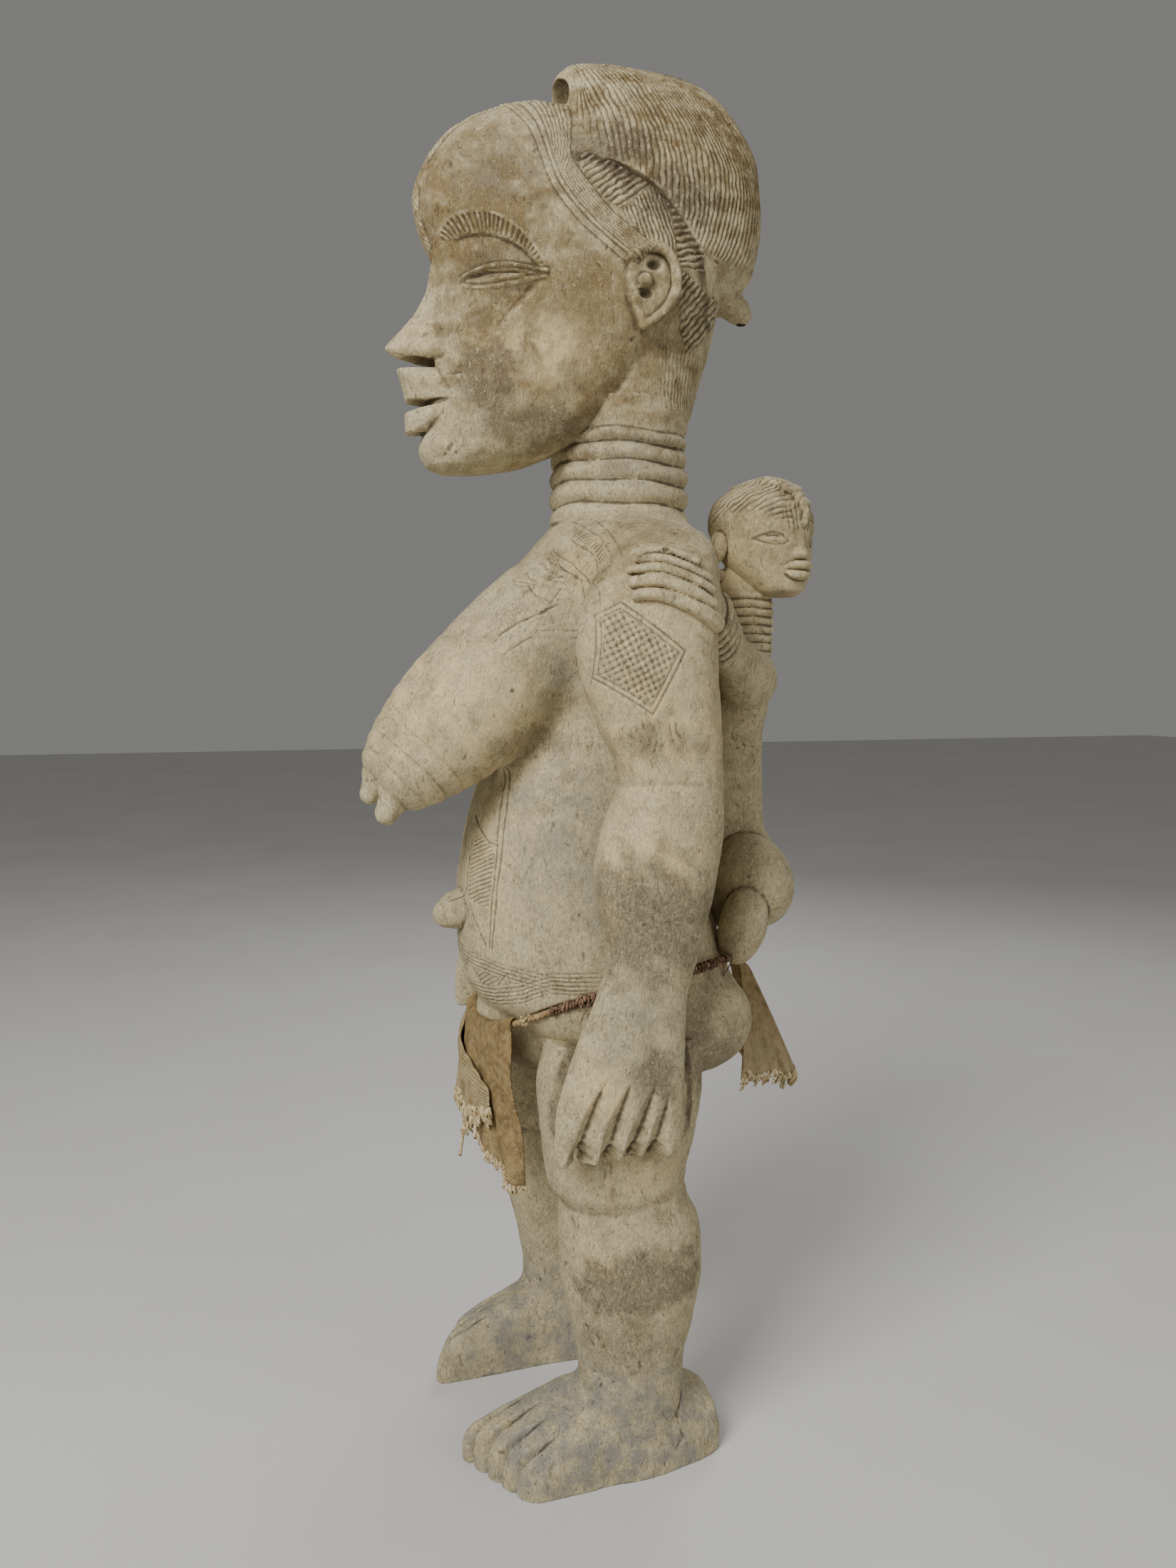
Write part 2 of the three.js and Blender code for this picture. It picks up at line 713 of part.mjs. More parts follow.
/** The carving without its cord groove. */
function carving() {
  const neck = banded(0, 24, [[676, 49], [694, 50], [745, 50], [762, 48]], neckRings,
    687, 750, 2.6, 16);
  const forms = [
    trunk(), ...hips(), skull(), nape(), neck, nose(), ...face(),
    ...bothSides([...breast(), ...leg()]),
    ...arm(), ...arm(rightHandForwards, rightHandRaised).map(mirrored),
    ...child(),
  ];
  const ear = ears();
  const body = joined(forms).add(crest()).add(ear).add(solid(mirrored(meshOf(ear))));
  const ground = new THREE.BoxGeometry(400 * share, 400 * share, 100 * share);
  ground.translate(0, 0, -50 * share);
  return body.subtract(solid(ground));
}

const groove = solid(cordRing(cordRadius + clearance, cordSeat, 6, cordSteps));
const woodwork = carving().subtract(groove);

const wood = new THREE.MeshStandardMaterial({ color: 0xa8987c, roughness: 0.85, metalness: 0 });
const plait = new THREE.MeshStandardMaterial({ color: 0x5d4030, roughness: 0.9, metalness: 0 });
const raffia = new THREE.MeshStandardMaterial({ color: 0x8d7450, roughness: 0.95, metalness: 0 });

const pieces = [
  ['figure', meshOf(woodwork), wood],
  ['hip_cord', meshOf(solid(cordRing(cordRadius, cordSeat, 6, cordSteps))), plait],
  ['front_cloth', meshOf(solid(frontCloth())), raffia],
  ['back_cloth', meshOf(solid(backCloth())), raffia],
];

const maternityFigure = new THREE.Group();
for (const [name, geometry, material] of pieces) {
  const mesh = new THREE.Mesh(geometry, material);
  mesh.name = name;
  maternityFigure.add(mesh);
}

// The origin is on the ground, under the middle of the whole figure
const bounds = new THREE.Box3().setFromObject(maternityFigure);
const middle = bounds.getCenter(new THREE.Vector3());
maternityFigure.position.set(-middle.x, -middle.y, -bounds.min.z);

export default maternityFigure;
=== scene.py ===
"""African maternity figure: a weathered hardwood carving dressed with a cord and two woven panels.

The carving is worked the way a carver does it: round forms are joined into one body, the joins are
softened, and the incised lines and hatching are cut into the skin afterwards. All lengths in the
tables are millimetres in the part's own frame: she looks along -Y, her left side is +X.
"""
import logging
import math
from dataclasses import dataclass, field, replace
from enum import Enum
from typing import Callable, Sequence

import bpy
import numpy as np
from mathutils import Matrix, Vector


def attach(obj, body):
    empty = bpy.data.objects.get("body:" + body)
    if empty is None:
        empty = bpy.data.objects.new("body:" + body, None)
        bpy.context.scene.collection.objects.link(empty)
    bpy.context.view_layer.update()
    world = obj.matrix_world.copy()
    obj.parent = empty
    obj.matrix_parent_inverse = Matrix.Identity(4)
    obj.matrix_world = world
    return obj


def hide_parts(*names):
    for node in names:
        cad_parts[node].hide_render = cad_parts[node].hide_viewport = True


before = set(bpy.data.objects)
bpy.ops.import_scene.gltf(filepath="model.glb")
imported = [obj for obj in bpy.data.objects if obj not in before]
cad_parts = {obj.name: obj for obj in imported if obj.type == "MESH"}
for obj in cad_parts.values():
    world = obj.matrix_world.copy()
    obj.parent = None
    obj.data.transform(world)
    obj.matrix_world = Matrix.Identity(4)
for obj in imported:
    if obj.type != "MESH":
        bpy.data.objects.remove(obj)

log = logging.getLogger("maternity_figure")

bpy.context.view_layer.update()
MM = 0.001
# From the part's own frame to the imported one, whose origin is under the middle of the part
SHIFT = np.array([0.0, -4.151, 0.0])
FULL_TURN = 2 * math.pi
Array = np.ndarray
Row = tuple[float, ...]
Path = Sequence[tuple[float, float]]
Finish = bpy.types.Material
Piece = bpy.types.Object
Socket = bpy.types.NodeSocket


class Slot(Enum):
    """The record's material slots."""

    WOOD = "wood"
    CORD = "cord"
    CLOTH = "cloth"


# Numbers


def smooth_table(rows: Sequence[Row], at: Array) -> Array:
    """Run a table through a smooth curve that doesn't overshoot its rows.

    Args:
        rows: each row starts with the place and goes on with the values there.
        at: the places to read, within the table or beyond its ends.

    Returns:
        One row of values for each place.
    """
    table = np.array(sorted(rows), dtype=np.float64)
    place, value = table[:, 0], table[:, 1:]
    gap = np.diff(place)[:, None]
    slope = np.diff(value, axis=0) / gap
    lean = np.zeros_like(value)
    same = slope[1:] * slope[:-1] > 0
    with np.errstate(divide="ignore", invalid="ignore"):
        mean = 2.0 / (1.0 / slope[1:] + 1.0 / slope[:-1])
    lean[1:-1] = np.where(same, mean, 0.0)
    lean[0], lean[-1] = slope[0], slope[-1]
    where = np.clip(at, place[0], place[-1])
    i = np.clip(np.searchsorted(place, where, side="right") - 1, 0, len(place) - 2)
    h = gap[i]
    t = ((where - place[i])[:, None]) / h
    a, b = value[i], value[i + 1]
    p, q = lean[i] * h, lean[i + 1] * h
    return a + p * t + (3 * (b - a) - 2 * p - q) * t**2 + (2 * (a - b) + p + q) * t**3


def soft_min(a: Array, b: Array, blend: float | Array) -> Array:
    """Find the lesser of two distances, rounded where they meet.

    Args:
        a: one distance.
        b: the other.
        blend: how wide the rounding is.

    Returns:
        The rounded distance.
    """
    if np.all(np.asarray(blend) <= 0):
        return np.minimum(a, b)
    h = np.maximum(blend - np.abs(a - b), 0) / blend
    return np.minimum(a, b) - h * h * (blend / 4)


def soft_step(low: float, high: float, x: Array) -> Array:
    """0 below low, 1 above high, and an easy slope between."""
    t = np.clip((x - low) / (high - low), 0, 1)
    return t * t * (3 - 2 * t)


# Forms


class Form:
    """A solid form that is joined to a block of wood or cut from it."""

    def mirrored(self) -> "Form":
        """The same form on her other side."""
        return self

    def box(self) -> tuple[Array, Array]:
        """Lowest and highest corner of the form."""
        raise NotImplementedError

    def distance(self, x: Array, y: Array, z: Array) -> Array:
        """Distance to the form's skin.

        Args:
            x: places along the grid's first axis.
            y: places along its second axis.
            z: levels along its third axis.

        Returns:
            The distance at each point of the grid, less than zero inside the form.
        """
        raise NotImplementedError


@dataclass
class Loft(Form):
    """A form that rises along Z through superellipse sections.

    Rows are (z, middle x, front y, back y, y where it is widest, half width).
    """

    rows: Sequence[Row]
    fullness: float = 2.15
    rounding: float = 4.0

    def mirrored(self) -> "Loft":
        """See Form."""
        return replace(self, rows=[(z, -x, *rest) for z, x, *rest in self.rows])

    def box(self) -> tuple[Array, Array]:
        """See Form."""
        t = np.array(self.rows)
        low = [(t[:, 1] - t[:, 5]).min(), t[:, 2].min(), t[:, 0].min()]
        high = [(t[:, 1] + t[:, 5]).max(), t[:, 3].max(), t[:, 0].max()]
        return np.array(low), np.array(high)

    def distance(self, x: Array, y: Array, z: Array) -> Array:
        """See Form."""
        t = smooth_table(self.rows, z.ravel())
        cx, front, back, widest, half = (c.reshape(z.shape).astype(np.float32) for c in t.T)
        reach = np.where(y > widest, back - widest, widest - front)
        n = self.fullness
        u = np.abs((x - cx) / half)
        v = np.abs((y - widest) / reach)
        un, vn = u ** (n - 1), v ** (n - 1)
        r = (u * un + v * vn) ** (1 / n) + 1e-6
        steep = np.hypot(un / half, vn / reach) / r ** (n - 1)
        d = (r - 1) / np.maximum(steep, 0.6 / np.maximum(half, reach))
        low, high = self.rows[0][0], self.rows[-1][0]
        low, high = min(low, high), max(low, high)
        cap = np.maximum(low - z, z - high)
        return -soft_min(-d, -cap, self.rounding)


@dataclass
class Limb(Form):
    """A form that follows a path. Rows are (x, y, z, half size along side, half size across it)."""

    rows: Sequence[Row]
    side: tuple[float, float, float] = (1.0, 0.0, 0.0)
    fullness: float = 2.0
    stride: float = 7.0

    def mirrored(self) -> "Limb":
        """See Form."""
        x, y, z = self.side
        return replace(self, rows=[(-r[0], *r[1:]) for r in self.rows], side=(-x, y, z))

    def path(self) -> Array:
        """Run a smooth curve through the rows.

        Returns:
            Rows a stride apart.
        """
        t = np.array(self.rows)
        length = np.r_[0, np.cumsum(np.linalg.norm(np.diff(t[:, :3], axis=0), axis=1))]
        count = max(int(round(length[-1] / self.stride)), 2)
        return smooth_table([(s, *r) for s, r in zip(length, t)], np.linspace(0, length[-1], count + 1))

    def box(self) -> tuple[Array, Array]:
        """See Form."""
        t = self.path()
        size = np.maximum(t[:, 3], t[:, 4])[:, None]
        return (t[:, :3] - size).min(axis=0), (t[:, :3] + size).max(axis=0)

    def distance(self, x: Array, y: Array, z: Array) -> Array:
        """See Form."""
        t = self.path()
        out = np.full(np.broadcast_shapes(x.shape, y.shape, z.shape), 40.0, np.float32)
        axes = [x.ravel(), y.ravel(), z.ravel()]
        for a, b in zip(t[:-1], t[1:]):
            reach = max(a[3], a[4], b[3], b[4]) + 9
            cut = tuple(
                slice(*np.searchsorted(axis, [min(a[k], b[k]) - reach, max(a[k], b[k]) + reach]))
                for k, axis in enumerate(axes)
            )
            part = out[cut]
            if part.size:
                spot = (x[cut[0]], y[:, cut[1]], z[:, :, cut[2]])
                np.minimum(part, self._stretch(a, b, *spot), out=part)
        return out

    def _stretch(self, a: Array, b: Array, x: Array, y: Array, z: Array) -> Array:
        """Find the distance to the stretch between two rows.

        Args:
            a: the row where it starts.
            b: the row where it ends.
            x, y, z: as for distance.

        Returns:
            The distance.
        """
        along = b[:3] - a[:3]
        length = np.linalg.norm(along)
        along = along / length
        u = np.array(self.side) - along * np.dot(self.side, along)
        u = u / np.linalg.norm(u)
        v = np.cross(along, u)
        px, py, pz = x - a[0], y - a[1], z - a[2]
        s = px * along[0] + py * along[1] + pz * along[2]
        t = np.clip(s / length, 0, 1)
        wide = (a[3] + (b[3] - a[3]) * t).astype(np.float32)
        deep = (a[4] + (b[4] - a[4]) * t).astype(np.float32)
        qu = np.abs(px * u[0] + py * u[1] + pz * u[2]) / wide
        qv = np.abs(px * v[0] + py * v[1] + pz * v[2]) / deep
        least = np.minimum(wide, deep)
        over = np.abs(s - t * length) / least
        n = self.fullness
        if n == 2.0:
            r = np.sqrt(qu * qu + qv * qv + over * over) + 1e-6
            steep = np.sqrt((qu / wide) ** 2 + (qv / deep) ** 2 + (over / least) ** 2) / r
        else:
            flat = (qu**n + qv**n) ** (1 / n)
            r = np.hypot(flat, over) + 1e-6
            steep = 1 / least
        return (r - 1) / np.maximum(steep, 0.5 / np.maximum(wide, deep))


@dataclass
class Lump(Form):
    """An egg-shaped form with its middle, its half sizes and its tilts in degrees."""

    middle: tuple[float, float, float]
    half: tuple[float, float, float]
    tilt_x: float = 0.0
    turn_z: float = 0.0

    def mirrored(self) -> "Lump":
        """See Form."""
        x, y, z = self.middle
        return replace(self, middle=(-x, y, z), turn_z=-self.turn_z)

    def _turn(self) -> Array:
        """Find how the lump's own axes lie.

        Returns:
            The rows of a matrix.
        """
        a, b = math.radians(self.tilt_x), math.radians(self.turn_z)
        tilt = np.array([[1, 0, 0], [0, math.cos(a), -math.sin(a)], [0, math.sin(a), math.cos(a)]])
        turn = np.array([[math.cos(b), -math.sin(b), 0], [math.sin(b), math.cos(b), 0], [0, 0, 1]])
        return (turn @ tilt).T

    def box(self) -> tuple[Array, Array]:
        """See Form."""
        reach = np.sqrt((self._turn().T ** 2) @ (np.array(self.half) ** 2))
        return np.array(self.middle) - reach, np.array(self.middle) + reach

    def distance(self, x: Array, y: Array, z: Array) -> Array:
        """See Form."""
        m = self._turn()
        px, py, pz = x - self.middle[0], y - self.middle[1], z - self.middle[2]
        first = np.float32(0)
        second = np.float32(0)
        for row, half in zip(m, self.half):
            q = (px * row[0] + py * row[1] + pz * row[2]) / half
            first = first + q * q
            second = second + (q / half) ** 2
        r = np.sqrt(first) + 1e-6
        return r * (r - 1) / np.maximum(np.sqrt(second), 1e-4)


@dataclass
class Facets(Form):
    """A form between flat faces, the same on both sides of the middle.

    Each face is given by three points (|x|, y, z) on it, and `core` is a point inside.
    """

    faces: Sequence[tuple[Row, Row, Row]]
    core: Row
    reach: tuple[Row, Row]
    rounding: float = 1.0

    def box(self) -> tuple[Array, Array]:
        """See Form."""
        return np.array(self.reach[0]), np.array(self.reach[1])

    def distance(self, x: Array, y: Array, z: Array) -> Array:
        """See Form."""
        a = np.abs(x)
        out = np.full(np.broadcast_shapes(x.shape, y.shape, z.shape), -30.0, np.float32)
        for one, two, three in self.faces:
            p, q, r = np.array(one), np.array(two), np.array(three)
            normal = np.cross(q - p, r - p)
            normal = normal / np.linalg.norm(normal)
            if np.dot(normal, np.array(self.core) - p) > 0:
                normal = -normal
            d = (a - p[0]) * normal[0] + (y - p[1]) * normal[1] + (z - p[2]) * normal[2]
            out = -soft_min(-out, -d.astype(np.float32), self.rounding)
        return out


@dataclass
class Plate(Form):
    """A flat piece with an outline (y, z), from one x to another."""

    outline: Path
    low: float
    high: float
    rounding: float = 3.0

    def mirrored(self) -> "Plate":
        """See Form."""
        return replace(self, low=-self.high, high=-self.low)

    def box(self) -> tuple[Array, Array]:
        """See Form."""
        t = np.array(self.outline)
        return np.array([self.low, *t.min(axis=0)]), np.array([self.high, *t.max(axis=0)])

    def distance(self, x: Array, y: Array, z: Array) -> Array:
        """See Form."""
        flat = np.broadcast_shapes(y.shape, z.shape)
        py, pz = np.broadcast_to(y, flat), np.broadcast_to(z, flat)
        near, _ = path_distance(py, pz, [*self.outline, self.outline[0]])
        edge = np.where(inside(py, pz, self.outline, 0.01) > 0.5, -near, near).astype(np.float32)
        thick = np.maximum(self.low - x, x - self.high)
        return -soft_min(-edge, -thick, self.rounding)


@dataclass
class Ringed(Form):
    """An upright round column banded with rings, as a neck with folds.

    Rows are (z, radius). Each ring swells between two grooves.
    """

    x: float
    y: float
    rows: Sequence[Row]
    grooves: Sequence[float]
    swell: float
    wander: float = 0.5

    def box(self) -> tuple[Array, Array]:
        """See Form."""
        t = np.array(self.rows)
        r = t[:, 1].max() + self.swell
        middle = np.array([self.x, self.y, 0])
        return middle + (-r, -r, t[:, 0].min()), middle + (r, r, t[:, 0].max())

    def distance(self, x: Array, y: Array, z: Array) -> Array:
        """See Form."""
        angle = np.arctan2(y - self.y, x - self.x)
        level = z + self.wander * (np.sin(2 * angle + 0.6) + 0.7 * np.sin(5 * angle + 0.06 * z))
        radius = smooth_table(self.rows, z.ravel())[:, 0].reshape(z.shape)
        phase = np.interp(level, self.grooves, range(len(self.grooves)))
        banded = soft_step(-2, 1, level - self.grooves[0]) * soft_step(-1, 3, self.grooves[-1] - level)
        bulge = np.abs(np.sin(np.pi * phase)) ** 0.75 - 0.62
        d = np.hypot(x - self.x, y - self.y) - radius - self.swell * 1.6 * bulge * banded
        low, high = self.rows[0][0], self.rows[-1][0]
        return np.maximum(0.8 * d, np.maximum(low - z, z - high)).astype(np.float32)


@dataclass
class Block:
    """A block of wood as distances on a grid, joined and cut form by form, then skinned."""

    low: Row
    high: Row
    step: float
    depth: Array = field(init=False)
    axes: list[Array] = field(init=False)

    def __post_init__(self) -> None:
        """Lay out the grid."""
        self.axes = [
            np.arange(a, b + self.step, self.step, dtype=np.float32) for a, b in zip(self.low, self.high)
        ]
        self.depth = np.full([len(a) for a in self.axes], 30.0, np.float32)

    def _window(self, form: Form, margin: float) -> tuple[tuple[slice, ...], list[Array]]:
        """Find the part of the grid round a form.

        Args:
            form: the form.
            margin: how much further the part reaches.

        Returns:
            The slices, and the part's x, y and z.
        """
        low, high = form.box()
        cut = tuple(
            slice(*np.searchsorted(axis, [low[k] - margin, high[k] + margin]))
            for k, axis in enumerate(self.axes)
        )
        x, y, z = (axis[c] for axis, c in zip(self.axes, cut))
        return cut, [x[:, None, None], y[None, :, None], z[None, None, :]]

    def join(self, form: Form, blend: float = 0.0, soft_above: float | None = None) -> "Block":
        """Add a form.

        Args:
            form: the form to add.
            blend: how far its joint is rounded.
            soft_above: level above which the joint is rounded; below it the joint is crisp.

        Returns:
            The block.
        """
        cut, spot = self._window(form, blend + 8)
        if self.depth[cut].size:
            soft = blend
            if soft_above is not None:
                soft = 1.5 + (blend - 1.5) * soft_step(soft_above - 12, soft_above + 12, spot[2])
            self.depth[cut] = soft_min(self.depth[cut], form.distance(*spot), soft)
        return self

    def join_both(self, form: Form, blend: float = 0.0, soft_above: float | None = None) -> "Block":
        """Add a form on her left and again on her right."""
        return self.join(form, blend, soft_above).join(form.mirrored(), blend, soft_above)

    def saw(self, level: float, keep_above: bool, dive: float = 0.0) -> "Block":
        """Cut the block off level.

        Args:
            level: where the saw runs.
            keep_above: keep what is above the cut, or what is below it.
            dive: how far the skin sinks by the cut, so that it ends inside its neighbour.

        Returns:
            The block.
        """
        z = self.axes[2][None, None, :]
        above = z - level if keep_above else level - z
        self.depth = np.maximum(self.depth + dive * (1 - soft_step(0, 5, above)), -above)
        return self

    def carve(self, form: Form, blend: float = 0.0) -> "Block":
        """Cut a form away.

        Args:
            form: what is cut away.
            blend: how far the edge is rounded.

        Returns:
            The block.
        """
        cut, spot = self._window(form, blend + 4)
        if self.depth[cut].size:
            self.depth[cut] = -soft_min(-self.depth[cut], form.distance(*spot), blend)
        return self

    def skin(self) -> "Skin":
        """Skin the block.

        Returns:
            Points where the depth is zero, joined by four-sided faces.
        """
        d = self.depth
        inside = d < 0
        shape = np.array(d.shape)
        cells = shape - 1
        total = int(np.prod(cells))
        keys: list[Array] = []
        spots: list[Array] = []
        quads: list[tuple[Array, Array]] = []
        # Each grid edge that crosses the skin makes a face between the four cells round it
        for axis in range(3):
            lower = [slice(None)] * 3
            upper = [slice(None)] * 3
            lower[axis], upper[axis] = slice(None, -1), slice(1, None)
            a, b = inside[tuple(lower)], inside[tuple(upper)]
            at = np.argwhere(a != b)
            one, two = (axis + 1) % 3, (axis + 2) % 3
            keep = (at[:, one] > 0) & (at[:, two] > 0)
            keep &= (at[:, one] < cells[one]) & (at[:, two] < cells[two])
            at = at[keep]
            nxt = at.copy()
            nxt[:, axis] += 1
            da, db = d[tuple(at.T)], d[tuple(nxt.T)]
            point = at.astype(np.float32)
            point[:, axis] += da / (da - db)
            corners = []
            for i, j in ((-1, -1), (0, -1), (0, 0), (-1, 0)):
                cell = at.copy()
                cell[:, one] += i
                cell[:, two] += j
                key = np.ravel_multi_index(tuple(cell.T), tuple(cells))
                corners.append(key)
                keys.append(key)
                spots.append(point)
            quad = np.stack(corners, axis=1)
            outward = da < 0
            quads.append((quad, outward))
        # A cell's point is the middle of the places where its edges cross the skin
        key = np.concatenate(keys)
        spot = np.concatenate(spots)
        used, index = np.unique(key, return_inverse=True)
        count = np.bincount(index)
        points = np.stack(
            [np.bincount(index, weights=spot[:, k]) / count for k in range(3)], axis=1
        )
        points = points * self.step + np.array([a[0] for a in self.axes])
        lookup = np.zeros(total, np.int32)
        lookup[used] = np.arange(len(used))
        faces = []
        for quad, outward in quads:
            face = lookup[quad]
            face[~outward] = face[~outward][:, ::-1]
            faces.append(face)
        return Skin(points, np.concatenate(faces))


# Skin and what is cut into it


def curve(corners: Sequence[Row], steps: int = 4) -> list[Row]:
    """Draw a smooth line through some corners.

    Args:
        corners: what it passes through.
        steps: how many stretches each gap gets.

    Returns:
        The line's corners.
    """
    p = np.array(corners, dtype=float)
    p = np.vstack([2 * p[0] - p[1], p, 2 * p[-1] - p[-2]])
    made = []
    for a, b, c, d in zip(p[:-3], p[1:-2], p[2:-1], p[3:]):
        for t in np.arange(steps) / steps:
            made.append(0.5 * (2 * b + (c - a) * t + (2 * a - 5 * b + 4 * c - d) * t**2
                               + (3 * b - a - 3 * c + d) * t**3))
    return [tuple(q) for q in made] + [tuple(p[-2])]


def path_distance(a: Array, b: Array, path: Path,
                  lean: tuple[Array, Array] | None = None) -> tuple[Array, Array]:
    """Nearest distance to a bent line in a plane, and how far along it that is.

    Args:
        a: first coordinate of each point.
        b: second coordinate of each point.
        path: corners of the line.
        lean: the parts of the skin's outward direction that lie in the plane. With them the
            distance is measured along the skin, so that a line is as wide where the skin turns away.

    Returns:
        The distance, and the length from the line's start to the nearest place.
    """
    best = np.full(a.shape, 1e9)
    along = np.zeros(a.shape)
    run = 0.0
    for (a0, b0), (a1, b1) in zip(path[:-1], path[1:]):
        da, db = a1 - a0, b1 - b0
        length = max(math.hypot(da, db), 1e-6)
        t = np.clip(((a - a0) * da + (b - b0) * db) / length**2, 0, 1)
        pa, pb = a - a0 - da * t, b - b0 - db * t
        d = np.hypot(pa, pb)
        if lean is not None:
            climb = (pa * lean[0] + pb * lean[1]) / np.maximum(d, 1e-6)
            d = d / np.sqrt(np.maximum(1 - climb**2, 0.08))
        along = np.where(d < best, run + t * length, along)
        best = np.minimum(best, d)
        run += length
    return best, along


def inside(a: Array, b: Array, corners: Path, soft: float = 0.8) -> Array:
    """Find which points lie inside a polygon in a plane.

    Args:
        a: first coordinate of each point.
        b: second coordinate of each point.
        corners: the polygon.
        soft: width of the soft edge within it.

    Returns:
        1 inside and 0 outside, for each point.
    """
    hit = np.zeros(a.shape, bool)
    ring = list(corners) + [corners[0]]
    for (a0, b0), (a1, b1) in zip(ring[:-1], ring[1:]):
        if b0 != b1:
            cross = (b0 > b) != (b1 > b)
            hit ^= cross & (a < (a1 - a0) * (b - b0) / (b1 - b0) + a0)
    edge, _ = path_distance(a, b, ring)
    return np.where(hit, soft_step(0, soft, edge), 0.0)


def smooth_noise(points: Array, size: float, seed: int) -> Array:
    """Run soft random waves over the points.

    Args:
        points: where the waves are read.
        size: about how far their crests are apart.
        seed: fixes the random draws.

    Returns:
        The height of the waves, mostly from -1 to 1.
    """
    rng = np.random.default_rng(seed)
    total = np.zeros(len(points))
    for _ in range(9):
        way = rng.normal(size=3)
        way *= 2 * math.pi / (size * rng.uniform(0.7, 1.5) * np.linalg.norm(way))
        bend = rng.normal(size=3)
        bend *= 2 * math.pi / (size * 2.3 * np.linalg.norm(bend))
        warp = 1.4 * np.sin(points @ bend + rng.uniform(0, 6.3))
        total += np.sin(points @ way + warp + rng.uniform(0, 6.3))
    return total / 3.0


@dataclass
class Chisel:
    """Gathers what is cut into the skin and raised from it, in millimetres, and where grime and painted shade
    darken it.
    """

    points: Array
    normals: Array
    lift: Array = field(init=False)
    dirt: Array = field(init=False)

    def __post_init__(self) -> None:
        """Start with an untouched skin."""
        self.lift = np.zeros(len(self.points))
        self.dirt = np.zeros(len(self.points))

    def side(self, path: Path) -> Array:
        """Distance along the skin to a line drawn in side view, (y, z)."""
        return path_distance(self.points[:, 1], self.points[:, 2], path,
                             (self.normals[:, 1], self.normals[:, 2]))[0]

    def front(self, path: Path) -> Array:
        """Measure along the skin to a line drawn in front view.

        Args:
            path: corners (|x|, z), which hold for both sides.

        Returns:
            The distance of each point.
        """
        outwards = self.normals[:, 0] * np.sign(self.points[:, 0])
        return path_distance(np.abs(self.points[:, 0]), self.points[:, 2], path,
                             (outwards, self.normals[:, 2]))[0]

    def noise(self, size: float, seed: int) -> Array:
        """Soft random waves over the skin."""
        return smooth_noise(self.points, size, seed)

    def lay_dirt_and_shade(self, amount: Array) -> None:
        """Lay grime and painted shade where there is less of it than an amount, from 0 to 1."""
        self.dirt = np.maximum(self.dirt, amount)

    def groove(self, distance: Array, width: float, depth: float, where: Array | float = 1.0) -> None:
        """Cut a V-shaped line.

        Args:
            distance: how far each point is from the line.
            width: half the width of the cut.
            depth: how deep it is.
            where: its strength at each point.
        """
        cut = np.clip(1 - distance / width, 0, 1) * where
        self.lift -= depth * cut
        self.lay_dirt_and_shade(min(0.65, 0.75 * depth) * cut)

    def ridge(self, distance: Array, width: float, height: float, where: Array | float = 1.0) -> None:
        """Leave a rounded ridge standing."""
        self.lift += height * (1 - soft_step(0, width, distance)) * where

    def hatch(self, phase: Array, depth: float, where: Array, sharp: float = 1.6) -> None:
        """Cut a row of even grooves.

        Args:
            phase: grows by 1 from groove to groove.
            depth: how deep they are.
            where: their strength at each point.
            sharp: narrows them.
        """
        cut = (0.5 + 0.5 * np.cos(2 * np.pi * phase)) ** sharp
        self.lift += depth * (0.35 - cut) * where
        self.lay_dirt_and_shade(0.35 * cut * where)

    def pits(self, spots: Sequence[tuple[Row, float, float]]) -> None:
        """Knock out small dark holes.

        Args:
            spots: the middle, the radius and the depth of each.
        """
        for middle, radius, depth in spots:
            apart = np.linalg.norm((self.points - middle) * (1, 1, 0.8), axis=1)
            apart = apart + 0.22 * radius * self.noise(2.2 * radius, 2)
            cut = 1 - soft_step(0.4 * radius, radius, apart)
            self.lift -= depth * cut
            self.lay_dirt_and_shade(0.7 * cut)


